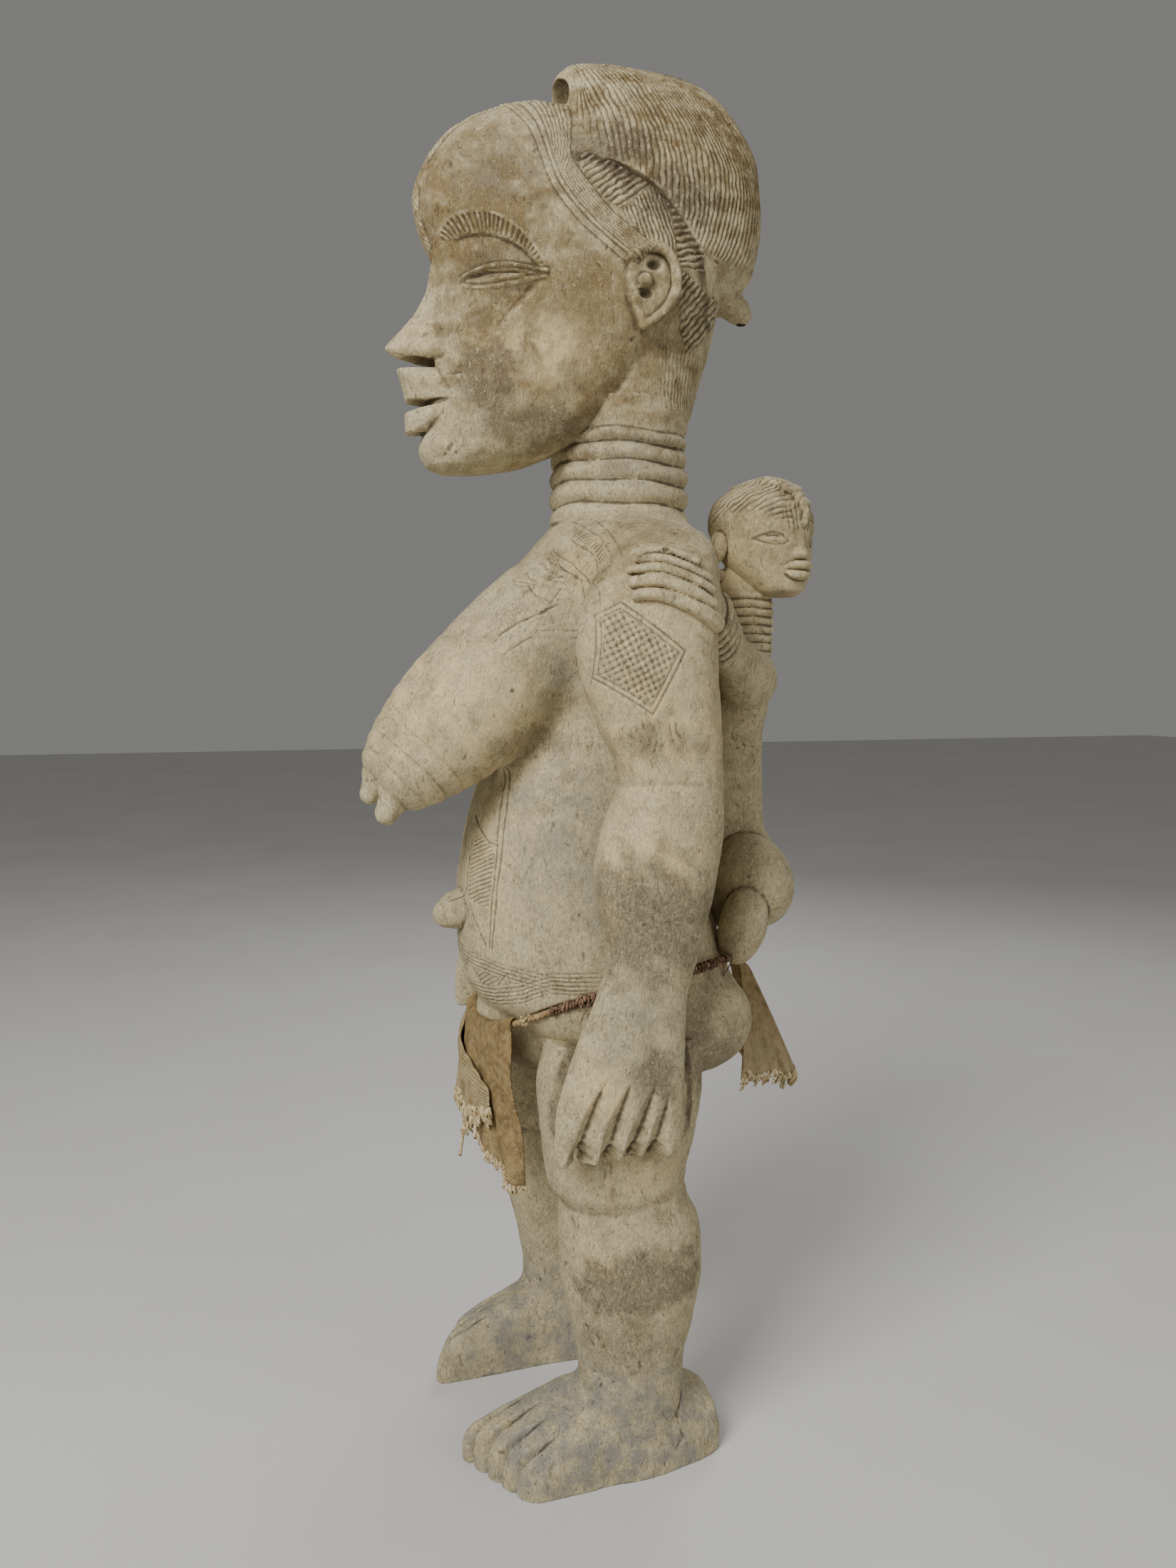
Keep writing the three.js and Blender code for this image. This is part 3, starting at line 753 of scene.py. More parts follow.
@dataclass
class Skin:
    """Points in millimetres and four-sided faces of one carved piece."""

    points: Array
    faces: Array
    dirt: Array = field(init=False)
    outward: Array | None = None

    def __post_init__(self) -> None:
        """Start with no grime and no painted shade."""
        self.dirt = np.zeros(len(self.points))

    def normals(self) -> Array:
        """Find the way out of the skin.

        Returns:
            One direction for each point.
        """
        p = self.points[self.faces]
        across = np.cross(p[:, 2] - p[:, 0], p[:, 3] - p[:, 1])
        total = np.zeros_like(self.points)
        for k in range(4):
            for axis in range(3):
                total[:, axis] += np.bincount(self.faces[:, k], across[:, axis], len(self.points))
        return total / np.maximum(np.linalg.norm(total, axis=1, keepdims=True), 1e-9)

    def spread(self, values: Array, rounds: int) -> Array:
        """Average each value with those of its neighbours.

        Args:
            values: one for each point.
            rounds: how many times.

        Returns:
            The averaged values.
        """
        count = np.maximum(2 * np.bincount(self.faces.ravel(), minlength=len(self.points)), 1)
        for _ in range(rounds):
            total = np.zeros(len(self.points))
            for k in range(4):
                here, ahead = self.faces[:, k], self.faces[:, (k + 1) % 4]
                total += np.bincount(here, values[ahead], len(total))
                total += np.bincount(ahead, values[here], len(total))
            values = total / count
        return values

    def hollow(self, rounds: int) -> Array:
        """How deep each point lies below its surroundings in millimetres, less than zero on edges."""
        around = np.stack([self.spread(self.points[:, k], rounds) for k in range(3)], axis=1)
        return np.einsum("ij,ij->i", around - self.points, self.normals())

    def carve(self, marks: Callable[[Chisel], None], low: Row, high: Row) -> "Skin":
        """Cut marks into the part of the skin that lies in a box.

        Args:
            marks: draws the marks with a chisel.
            low: lowest corner of the box.
            high: highest corner of the box.

        Returns:
            The skin.
        """
        here = np.all((self.points >= low) & (self.points <= high), axis=1)
        if self.outward is None:
            self.outward = self.normals()
        tool = Chisel(self.points[here], self.outward[here])
        marks(tool)
        self.points[here] += tool.normals * tool.lift[:, None]
        self.dirt[here] = np.maximum(self.dirt[here], tool.dirt)
        return self


# Blender helpers


def put(name: str, points: Array, faces: Array, material: Finish) -> Piece:
    """Make a smooth-shaded object from points in millimetres in the part's own frame.

    Args:
        name: the piece's name.
        points: its points.
        faces: rows of three or four point numbers.
        material: its finish.

    Returns:
        The new object, linked to the scene.
    """
    mesh = bpy.data.meshes.new(name)
    mesh.vertices.add(len(points))
    mesh.vertices.foreach_set("co", ((points + SHIFT) * MM).astype(np.float32).ravel())
    sides = faces.shape[1]
    mesh.loops.add(faces.size)
    mesh.loops.foreach_set("vertex_index", faces.astype(np.int32).ravel())
    mesh.polygons.add(len(faces))
    mesh.polygons.foreach_set("loop_start", np.arange(0, faces.size, sides, dtype=np.int32))
    mesh.update(calc_edges=True)
    mesh.polygons.foreach_set("use_smooth", np.ones(len(faces), dtype=bool))
    mesh.materials.append(material)
    piece = bpy.data.objects.new(name, mesh)
    bpy.context.scene.collection.objects.link(piece)
    return piece


def apply_modifiers(piece: Piece) -> None:
    """Turn the piece's modifiers into its mesh.

    Args:
        piece: the piece that has them.
    """
    graph = bpy.context.evaluated_depsgraph_get()
    mesh = bpy.data.meshes.new_from_object(piece.evaluated_get(graph))
    old = piece.data
    piece.modifiers.clear()
    piece.data = mesh
    mesh.name = old.name
    bpy.data.meshes.remove(old)


def count_triangles(piece: Piece) -> int:
    """How many triangles the piece has."""
    return sum(len(p.vertices) - 2 for p in piece.data.polygons)


def thin(piece: Piece, triangles: int) -> None:
    """Take faces away where the skin is flat.

    Args:
        piece: the piece to thin.
        triangles: how many are left at most.
    """
    faces = count_triangles(piece)
    if faces <= triangles:
        return
    tool = piece.modifiers.new("thin", "DECIMATE")
    tool.ratio = triangles / faces
    apply_modifiers(piece)


def stand_for(piece: Piece, node: str) -> None:
    """Let a piece ride on the body in a node's place.

    Args:
        piece: the finished piece.
        node: the node that it stands for.
    """
    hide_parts(node)
    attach(piece, "root")


def write_values(piece: Piece, name: str, values: Array) -> None:
    """Keep one number for each point under a name that the finish reads."""
    layer = piece.data.attributes.new(name, "FLOAT", "POINT")
    layer.data.foreach_set("value", np.asarray(values, np.float32))


# The carving


# Where the wood is tan, rubbed ochre, scuffed or greyed: middle |x|, y, z, half sizes and strength
STAINS: dict[str, list[Row]] = {
    "warm": [
        (0, 60, 930, 90, 120, 90, 1.2), (40, -30, 800, 80, 130, 110, 0.9),
        (30, -90, 880, 70, 80, 80, 1.0), (40, -60, 560, 60, 60, 50, 0.5), (90, 0, 640, 70, 70, 60, 0.7),
        (120, 10, 540, 40, 60, 60, 0.4), (30, 120, 660, 60, 60, 70, 0.6),
        (110, 0, 570, 50, 70, 110, 0.3), (50, -120, 520, 50, 70, 60, 0.4),
        (78, 0, 230, 60, 60, 70, 0.5),
    ],
    "rub": [
        (50, -50, 785, 30, 40, 26, 0.9), (10, -130, 800, 15, 20, 20, 0.5),
        (50, -110, 540, 50, 70, 60, 0.9), (80, -20, 640, 30, 30, 30, 0.5),
        (128, -32, 402, 16, 12, 30, 1.2), (138, -35, 295, 18, 22, 24, 1.2),
        (110, 0, 225, 30, 40, 25, 0.5), (110, -25, 165, 20, 20, 20, 0.5),
        (125, 10, 530, 30, 50, 60, 1.0), (125, 0, 450, 30, 40, 30, 1.0),
        (40, -80, 430, 40, 40, 50, 0.6), (120, 0, 590, 40, 60, 50, 0.5),
        (30, 120, 640, 60, 60, 40, 0.4),
    ],
    "worn": [
        (38, -85, 765, 30, 22, 30, 0.9), (40, -50, 735, 30, 50, 16, 0.8),
        (45, -85, 848, 20, 25, 8, 0.4), (50, 0, 925, 30, 40, 20, 0.8), (55, 50, 895, 20, 40, 22, 0.7),
        (60, -60, 520, 40, 40, 15, 0.4), (132, -5, 405, 35, 60, 50, 0.8),
        (130, 5, 300, 25, 22, 22, 0.7), (115, 0, 146, 30, 60, 26, 1.0),
        (105, -10, 100, 30, 50, 30, 0.4), (100, 40, 700, 40, 40, 40, 0.3),
        (125, 10, 520, 30, 40, 24, 0.5), (90, 60, 290, 35, 45, 40, 0.5),
        (60, 150, 470, 60, 30, 90, 0.2), (0, 60, 990, 30, 60, 14, 0.5),
    ],
    "slate": [
        (40, -70, 905, 40, 45, 35, 0.4), (45, 20, 715, 25, 50, 30, 0.5),
        (86, -20, 440, 20, 30, 75, 0.9), (75, -45, 560, 15, 20, 40, 0.7),
        (130, -5, 330, 25, 35, 40, 0.7), (80, -20, 30, 80, 120, 70, 1.5),
        (85, 30, 320, 30, 40, 30, 0.4), (60, -30, 450, 50, 60, 80, 0.8),
    ],
}


def stain(points: Array, spots: Sequence[Row], seed: int) -> Array:
    """Stain the points, fading out in a ragged edge.

    Args:
        points: the skin's points.
        spots: rows of the table of stains.
        seed: fixes the ragged edge.

    Returns:
        How strongly each point is stained, from 0 up.
    """
    ragged = 0.16 * smooth_noise(points, 18, seed) + 0.09 * smooth_noise(points, 6, seed + 50)
    total = np.zeros(len(points))
    folded = points.copy()
    folded[:, 0] = np.abs(folded[:, 0])
    for *place, strength in spots:
        apart = (folded - place[:3]) / place[3:]
        faded = soft_step(0.3, 1.2, np.linalg.norm(apart, axis=1) + ragged)
        total = np.maximum(total, strength * (1 - faded))
    return total


Cut = tuple[Callable[[Chisel], None], Row, Row]


@dataclass(frozen=True)
class CarvedPiece:
    """A piece of the carving, worked in a block from its lowest to its highest corner.

    The step is the grid's, and the piece keeps at most so many triangles.
    """

    name: str
    step: float
    triangles: int
    low: Row
    high: Row
    nicks: int = 90

    def shape(self, block: Block) -> None:
        """Join the piece's forms to its block and cut others away."""
        raise NotImplementedError

    def cuts(self) -> list[Cut]:
        """Each set of marks with the lowest and highest corner of the box that it lies in."""
        raise NotImplementedError

    def place(self, points: Array) -> Array:
        """Where the carved points stand on the figure."""
        return points

    def _nick(self, tool: Chisel) -> None:
        """Scatter small dark nicks and short scratches over the piece.

        Args:
            tool: cuts them.
        """
        rng = np.random.default_rng(len(self.name))
        for k in rng.integers(0, len(tool.points), self.nicks):
            way = rng.normal(size=3) * (0.5, 0.5, 1.0)
            way /= np.linalg.norm(way)
            apart = tool.points - tool.points[k]
            along = apart @ way
            size = rng.uniform(0.8, 2.4)
            near = np.sqrt(np.maximum((apart**2).sum(axis=1) - 0.9 * along**2, 0))
            cut = 1 - soft_step(0.3 * size, size, near)
            tool.lift -= rng.uniform(0.15, 0.6) * cut
            tool.lay_dirt_and_shade(rng.uniform(0.2, 0.8) * cut)

    def build(self, wood: Finish) -> Piece:
        """Carve the piece and let it stand for the figure.

        Args:
            wood: its finish.

        Returns:
            The piece.
        """
        block = Block(self.low, self.high, self.step)
        self.shape(block)
        skin = block.skin()
        for marks, low, high in self.cuts():
            skin.carve(marks, low, high)
        skin.points = self.place(skin.points)
        waves = 0.2 * smooth_noise(skin.points, 21, 4) + 0.07 * smooth_noise(skin.points, 8, 5)
        skin.points += skin.normals() * waves[:, None]
        skin.carve(self._nick, skin.points.min(axis=0), skin.points.max(axis=0))
        fine, broad = skin.hollow(2), skin.hollow(14)
        piece = put(self.name, skin.points, skin.faces, wood)
        # Grime in cuts, pits and nicks, with painted shade in the lids, eye sockets, ear hollows and crest
        # scoop, and painted shadow below the crest rim and beside the left hand
        write_values(piece, "dirt", skin.dirt)
        write_values(piece, "groove", np.clip(fine / 0.18, -1, 1))
        write_values(piece, "hollow", np.clip(broad / 1.3, -1, 1))
        for number, (kind, spots) in enumerate(STAINS.items()):
            write_values(piece, kind, stain(skin.points, spots, 20 + number))
        thin(piece, self.triangles)
        stand_for(piece, "figure")
        return piece


SKULL = [
    (707, 0, -113, -86, -99, 12),
    (712, 0, -121, -58, -86, 24),
    (722, 0, -125, -30, -66, 34),
    (738, 0, -121, 2, -40, 42),
    (760, 0, -118, 22, -22, 48),
    (785, 0, -117, 44, -8, 52),
    (810, 0, -115, 76, 4, 55),
    (835, 0, -112, 98, 14, 57),
    (860, 0, -116, 108, 18, 57),
    (885, 0, -124, 112, 18, 55),
    (902, 0, -124, 112, 18, 52),
    (920, 0, -115, 108, 18, 48),
    (937, 0, -102, 98, 18, 42),
    (951, 0, -84, 84, 14, 34),
    (962, 0, -58, 66, 8, 24),
    (968, 0, -36, 46, 4, 12),
]
NAPE = [
    (742, 0, -16, 74, 20, 46),
    (776, 0, -10, 84, 24, 45),
    (808, 0, 0, 94, 30, 45),
    (840, 0, 10, 100, 34, 46),
]
NOSE = [
    (783, 0, -138, -96, -109, 15),
    (786.5, 0, -145, -96, -110, 17.5),
    (790, 0, -148.5, -96, -110, 18),
    (794, 0, -146, -96, -110, 17),
    (800, 0, -140.5, -96, -109, 15),
    (808, 0, -133.5, -96, -108, 12.5),
    (818, 0, -126, -96, -106, 10.5),
    (832, 0, -119, -94, -104, 9.5),
    (850, 0, -116, -94, -102, 9),
]
LIP_BOX = ((-30, -142, 728), (30, -92, 782))
UPPER_LIP = Facets((
    ((0, -140.5, 776), (0, -134, 755), (8, -139, 776)),
    ((8, -138, 775), (8, -132.5, 755), (27, -103, 756)),
    ((8, -138, 775), (27, -103, 756), (15, -110, 779)),
    ((0, -140, 777), (8, -138, 776.5), (0, -110, 778)),
    ((0, -134, 755.5), (9, -132, 755), (27, -103, 755.5)),
), (3, -120, 766), LIP_BOX, 0.9)
LOWER_LIP = Facets((
    ((0, -135.5, 746), (0, -135, 734), (8, -134, 746)),
    ((8, -133.5, 745), (9, -131, 733), (27, -102, 754)),
    ((9, -131, 734), (27, -102, 753), (10, -112, 735)),
    ((0, -134, 747.5), (9, -131, 748), (27, -102, 754.5)),
    ((0, -135, 733.5), (9, -131, 733), (0, -112, 735)),
), (3, -118, 741), LIP_BOX, 0.9)
BRAID = [
    (0, -112, 852, 5.5, 2.4),
    (0, -121.4, 874, 5.5, 3),
    (0, -124.8, 893, 5.5, 3),
    (0, -117, 916, 5.5, 3),
    (0, -102, 937, 5.5, 3),
    (0, -80.5, 952, 5.5, 3),
    (0, -56, 962, 5.5, 2.8),
    (0, -34, 967, 5.5, 2.6),
]
BROW_TOP = curve([(-113, 866), (-108, 872.5), (-98, 875.5), (-86, 875.5), (-74, 871), (-62, 862.5),
                  (-53, 852), (-46, 840)])
BROW_LOW = curve([(-112, 858), (-106, 860), (-98, 862), (-87, 862), (-77, 860), (-66, 855), (-58, 849),
                  (-51, 841)])
BROW_MIDDLE = curve([(-113, 862), (-107, 866), (-98, 868.5), (-87, 869), (-76, 866), (-64, 859), (-55, 851),
                     (-48, 841)])
LID = curve([(-101, 833), (-94, 837), (-83, 840), (-72, 841), (-60, 839.5), (-46, 837)])
EYE_TOP = curve([(-99, 831), (-93, 835), (-83, 837.5), (-71, 837.8), (-60, 836), (-47, 833.5)])
EYE_LOW = curve([(-99, 830.5), (-92, 828.5), (-84, 828), (-73, 829.5), (-60, 832), (-47, 834.5)])
CHEEK = curve([(-44, 836), (-50, 829), (-59, 819.5), (-68, 809), (-75, 799), (-80, 789)])
MUZZLE = curve([(-110, 800), (-112, 786), (-106, 772), (-99, 758), (-94, 744), (-95, 728), (-102, 714)])
HAIR_FRONT = curve([(-66, 964), (-60, 950), (-52, 934), (-46, 912), (-39, 892), (-23, 872), (-4, 857),
                    (15, 844)])
HAIR_BACK = curve([(-22, 972), (-24, 945), (-27, 917), (-17, 899), (-2, 881), (13, 870), (31, 859)])
EAR = curve([(13, 853), (21, 858), (31, 859), (41, 853), (45.5, 843), (46.3, 834), (43, 823.5), (35, 813),
             (27, 807), (20, 802.6), (16, 810), (11, 822), (9, 838), (13, 853)], 2)
EAR_RIM = [(61, 13, 850, 4, 3.5), (64, 21, 856, 4, 3.5), (65, 30, 856, 4, 3.5), (66, 38, 851, 4, 3.5),
           (66, 42.5, 842, 4, 3.5), (66, 43, 832, 4, 3.5), (65, 40, 822, 4, 3.5), (64, 33.5, 813, 4, 3.5),
           (62, 26, 807, 4, 3.2), (60, 20.5, 804, 3.6, 3)]
EAR_SHELL = [(70, 35, 846, 2.6, 2.6), (70, 37, 836, 2.6, 2.6), (70, 33, 823, 2.6, 2.6), (69, 27, 813, 2, 2)]
# Fields of parallel strands: corners (y, z), the way the strands run and their pitch
HAIR_PATCHES = [
    (((-26, 918), (-14, 920), (4, 914), (29, 902), (5, 882), (-7, 889), (-17, 899)), (25, 19), 4.2),
    (((30, 902), (40, 890), (46, 871), (46, 856), (31, 858), (17, 869), (6, 881)), (15, -44), 3.2),
    (((41, 890), (52, 886), (63, 876), (70, 866), (73, 848), (47, 850), (46, 871)), (1, 0.3), 4.6),
    (((47, 849), (68, 840), (92, 834), (94, 822), (62, 793), (52, 818), (47, 836)), (25, 27), 4.2),
]


@dataclass(frozen=True)
class Head(CarvedPiece):
    """The long head with its brow, eyes, ears, forehead braid and shaved hairline."""

    name: str = "head"
    step: float = 1.0
    triangles: int = 160_000
    low: Row = (-76, -151, 702)
    high: Row = (76, 120, 974)

    def shape(self, block: Block) -> None:
        """Join skull, nape, nose, lips, braid and ears, and cut nostrils, scoop and ear shells."""
        block.join(Loft(SKULL, 2.15, 3)).join(Loft(NAPE, 2.1, 2), 3)
        block.join(Loft(NOSE, 1.45, 1.0), 2.5)
        block.carve(Lump((0, -124, 780), (11, 16, 8)), 2)
        block.join(UPPER_LIP, 1).join(LOWER_LIP, 1)
        block.join(Limb(BRAID, fullness=3, stride=5), 1.2)
        block.carve(Lump((0, -26, 963), (26, 19, 17)), 2)
        block.join_both(Plate(EAR, 40, 62, 4), 3).join_both(Limb(EAR_RIM, stride=4), 1.5)
        block.join_both(Lump((61, 21, 834), (7, 5.5, 5)), 1.5)
        for form in (
            Lump((68, 28, 845), (11, 6.5, 4.6)),
            Lump((68, 22, 825.5), (11, 6, 4)),
            Limb(EAR_SHELL, stride=4),
        ):
            block.carve(form, 2).carve(form.mirrored(), 2)

    def cuts(self) -> list[Cut]:
        """See CarvedPiece."""
        return [
            (self._face, (-80, -150, 770), (80, -30, 900)),
            (self._hair, (-80, -75, 755), (80, 120, 985)),
            (self._braid, (-9, -135, 850), (9, -20, 985)),
            (self._chin, (-80, -150, 700), (80, 30, 790)),
        ]

    def _face(self, tool: Chisel) -> None:
        """Brows with hatching, sunken lids, almond eyes and the edge of the cheek.

        Args:
            tool: cuts them.
        """
        x, y, z = tool.points.T
        a = np.abs(x)
        aside = soft_step(7, 13, a)
        eyeside = soft_step(18, 27, a)
        brow = inside(y, z, BROW_TOP + BROW_LOW[::-1], 1.6) * aside
        _, along = path_distance(y, z, BROW_MIDDLE)
        wander = 0.3 * np.sin(along / 5.1)
        tool.lift -= 0.5 * brow
        tool.hatch(along / 2.9 + 0.09 * (z - 868) + wander, 0.9, brow, 1.2)
        tool.ridge(tool.side(BROW_TOP), 3.0, 0.35, aside * soft_step(838, 852, z))
        low = tool.side(BROW_LOW)
        lid = inside(y, z, BROW_LOW + LID[::-1], 1.5) * aside * soft_step(-110, -99, y)
        tool.lift -= 2.8 * lid * (1 - 0.75 * soft_step(0, 18, low))
        # Painted shade on the sunken lid under the brow
        tool.lay_dirt_and_shade(0.25 * lid)
        tool.groove(low, 1.6, 0.8, aside * soft_step(-112, -106, y))
        tool.ridge(tool.side(LID), 2.3, 2.5, eyeside * soft_step(-104, -97, y))
        eye = inside(y, z, EYE_TOP + EYE_LOW[::-1], 1.4) * eyeside
        tool.lift -= 1.2 * eye
        lens = tool.side(curve([(-96, 831), (-90, 830.6), (-82, 831), (-72, 832.4), (-62, 833.6)]))
        tool.ridge(lens, 3.2, 2.2, eye)
        slit = tool.side(curve([(-94, 834), (-85, 835.6), (-76, 836.2), (-64, 835.4)]))
        tool.groove(slit, 1.5, 1.5, eyeside)
        tool.ridge(tool.side([(p, q - 1.5) for p, q in EYE_LOW]), 1.6, 0.7, eyeside)
        edge = tool.side(CHEEK)
        bound = np.interp(z, [p[1] for p in CHEEK[::-1]], [p[0] for p in CHEEK[::-1]])
        ahead = soft_step(-2, 6, bound - y) * (1 - soft_step(8, 26, edge))
        ahead = ahead * soft_step(790, 806, z) * (1 - soft_step(824, 833, z)) * soft_step(9, 20, a)
        tool.lift -= 3.4 * ahead
        muzzle = tool.side(MUZZLE)
        tool.lift -= 1.1 * (1 - soft_step(0, 9, muzzle)) * aside
        fold, _ = path_distance(y, z, curve([(-109, 789), (-103, 799), (-97, 808), (-88, 815)]))
        tool.ridge(fold, 4.5, 0.9, aside)
        # Painted shade over the eye socket
        corners = [(-112, 856), (-60, 856), (-46, 840), (-60, 826), (-98, 824), (-112, 800)]
        socket = inside(y, z, corners, 9)
        tool.lay_dirt_and_shade(0.3 * socket * aside)

    def _hair(self, tool: Chisel) -> None:
        """Shaved hairline band, fields of strands behind it and fine strands on the nape.

        Args:
            tool: cuts them.
        """
        x, y, z = tool.points.T
        aside = soft_step(10, 22, np.abs(x))
        front, _ = path_distance(y, z, HAIR_FRONT)
        back, _ = path_distance(y, z, HAIR_BACK)
        band = inside(y, z, HAIR_FRONT + HAIR_BACK[::-1], 0.8)
        wobble = tool.noise(10, 6)
        t = front / (front + back + 1e-6)
        phase = np.where(t < 0.35, t / 0.175, 2 + (t - 0.35) * 11) + 0.13 * wobble * soft_step(0.3, 0.4, t)
        tool.lift += 0.7 * band
        tool.hatch(phase, 0.75, band)
        tool.ridge(front, 1.6, 1.0, soft_step(842, 850, z))
        for corners, (py, pz), pitch in HAIR_PATCHES:
            area = inside(y, z, corners, 1.0) * aside
            across = (y * pz - z * py) / math.hypot(py, pz)
            tool.lift += 0.5 * area
            tool.hatch(across / pitch + 0.14 * wobble, 1.4, area, 1.2)
        # Painted shade on the floor of the hollowed ear
        shell = (1 - soft_step(59.5, 62.5, np.abs(x))) * soft_step(54, 56, np.abs(x))
        tool.lay_dirt_and_shade(0.75 * (inside(y, z, EAR, 4) * shell))
        nape = soft_step(36, 44, y) * (1 - soft_step(794, 800, z)) * soft_step(755, 758, z)
        tool.hatch(np.arctan2(x, y - 20) * 16 + 0.2 * wobble, 0.35, nape)
        # Painted shadow on the hair just below the overhanging rim of the crest
        rim = tool.side(CREST_EDGE)
        shade = (1 - soft_step(3, 12, rim)) * soft_step(-30, -22, y) * (z < np.interp(y, *zip(*CREST_EDGE)))
        tool.lay_dirt_and_shade(0.9 * shade)

    def _braid(self, tool: Chisel) -> None:
        """Twist of the forehead braid.

        Args:
            tool: cuts them.
        """
        x, y, z = tool.points.T
        along = 1.05 * np.arctan2(z - 870, -(y + 20)) * 95
        raised = soft_step(0, 2, 6.2 - np.abs(x)) * soft_step(852, 860, z)
        tool.hatch((along + 1.4 * np.abs(x)) / 4.4, 0.6, raised)
        tool.groove(np.abs(x), 0.9, 0.5, raised)

    def _chin(self, tool: Chisel) -> None:
        """Chips, pits and a flake on the chin and jaw.

        Args:
            tool: cuts them.
        """
        tool.pits([
            ((24, -108, 722), 3.2, 0.8),
            ((20, -111, 718), 2.2, 0.6),
            ((26, -104, 717), 1.8, 0.5),
            ((38, -84, 744), 1.6, 0.5),
            ((41, -72, 735), 2.0, 0.5),
            ((30, -101, 768), 1.2, 0.8),
            ((46, -62, 741), 1.6, 0.5),
        ])


CREST = [
    (838, 0, 70, 112, 96, 22),
    (866, 0, 14, 127, 60, 50),
    (900, 0, -24, 132, 36, 58),
    (936, 0, -31, 129, 32, 55),
    (964, 0, -31, 115, 34, 44),
    (983, 0, -27, 99, 34, 31),
    (995, 0, -17, 80, 34, 16),
    (1000, 0, 4, 50, 28, 6),
]
CREST_EDGE = curve([(-70, 918), (-40, 918), (-14, 919), (4, 914.5), (29, 902), (46, 887), (57, 876),
                    (65, 866), (70, 856), (74, 846), (78, 836), (82, 820)], 3)
KNOB = [(0, 88, 856, 15, 12), (0, 106, 849, 13, 11), (0, 117, 842, 10.5, 10.5), (0, 123, 837, 7.5, 8)]


# Strands of hair seen from her left: (z, y of ten of them from the rim to the nape)
STRANDS = [
    (1000, -17, -16, -2, 3, 15, 25, 33, 40, 46, 52),
    (981, -17, -14, 5, 12, 27, 40, 52, 66, 76, 100),
    (963, -18, -10, 13, 18, 35, 49, 61, 76, 84, 115),
    (948, -20, -5, 18, 24, 41, 58, 70, 84, 92, 124),
    (933, -22, -3, 20.5, 28.5, 45, 64, 79, 93.5, 102, 129.5),
    (918, -21, -1, 22, 31, 48, 67, 85, 101, 112, 131.5),
    (903, -20, 0, 22, 31, 49.5, 68, 85, 102, 116, 132),
    (888, -19, 1, 22, 31, 50, 68, 83, 99, 116, 131),
    (873, -18, 2, 21, 30, 49, 65, 80, 95, 114, 129),
    (858, -17, 3, 20, 28, 47, 61, 76, 88, 108, 124),
    (838, -16, 4, 18, 26, 44, 56, 70, 78, 98, 112),
]
STRAND_COUNTS = (0, 4, 9.5, 11.5, 15.5, 20, 24, 28.5, 33, 42)


@dataclass(frozen=True)
class Crest(CarvedPiece):
    """Helmet of hair strands with an overhanging edge, a scooped front and a knob at the nape."""

    name: str = "crest"
    step: float = 0.9
    triangles: int = 110_000
    low: Row = (-64, -36, 830)
    high: Row = (64, 137, 1003)

    def shape(self, block: Block) -> None:
        """Join the helmet of hair and its knob, and cut its rim and the scoop in front."""
        block.join(Loft(CREST, 2.3, 2))
        block.carve(Plate([*CREST_EDGE, (-70, 815)], -80, 80, 1), 1.5)
        block.carve(Lump((0, -33, 965), (27, 24, 21)), 1.5)
        block.join(Limb(KNOB), 3)

    def cuts(self) -> list[Cut]:
        """See CarvedPiece."""
        return [
            (self._strands, (-70, -40, 830), (70, 137, 1010)),
        ]

    def _strands(self, tool: Chisel) -> None:
        """Strands that run down from the crown, closer together towards the rim.

        Args:
            tool: cuts them.
        """
        x, y, z = tool.points.T
        lines = smooth_table(STRANDS, z)
        u = (y - lines[:, 0]) / 4.2
        for k, (one, two) in enumerate(zip(STRAND_COUNTS[:-1], STRAND_COUNTS[1:])):
            gap = np.maximum(lines[:, k + 1] - lines[:, k], 0.5)
            t = np.clip((y - lines[:, k]) / gap, 0, 1)
            if k == len(STRAND_COUNTS) - 2:
                t = 1 - np.sqrt(1 - t)
            u = np.where(y > lines[:, k], one + (two - one) * t, u)
        phase = u + 0.1 * np.sin(z / 13 + 0.7 * u) + 0.09 * tool.noise(12, 3)
        apart = np.sqrt((x / 27) ** 2 + ((y + 33) / 24) ** 2 + ((z - 965) / 21) ** 2)
        scoop = 1 - soft_step(0.9, 1.06, apart)
        edge, _ = path_distance(y, z, CREST_EDGE)
        under = soft_step(0.25, 0.6, -tool.normals[:, 2]) * (1 - soft_step(1.5, 3.5, edge))
        knob = 1 - soft_step(-2, 2, z - 859 + 0.12 * (y - 96))
        where = (1 - scoop) * (1 - under) * (1 - knob) * soft_step(-0.4, 0.4, u)
        width = np.abs(np.sin(np.pi * phase)) ** 0.55
        worn = (1 - soft_step(3, 15, edge)) * soft_step(-0.2, 0.6, tool.noise(16, 9))
        tool.lift += (1.35 * width - 1.05) * where * (1 - 0.35 * worn) - 0.6 * worn * where
        cut = 1 - soft_step(0, 0.5, width)
        # Grime in the cuts between strands, and painted shade over the whole scoop in front
        tool.lay_dirt_and_shade(np.maximum(0.75 * cut * where, 0.8 * scoop))
        tool.lay_dirt_and_shade(0.45 * worn)


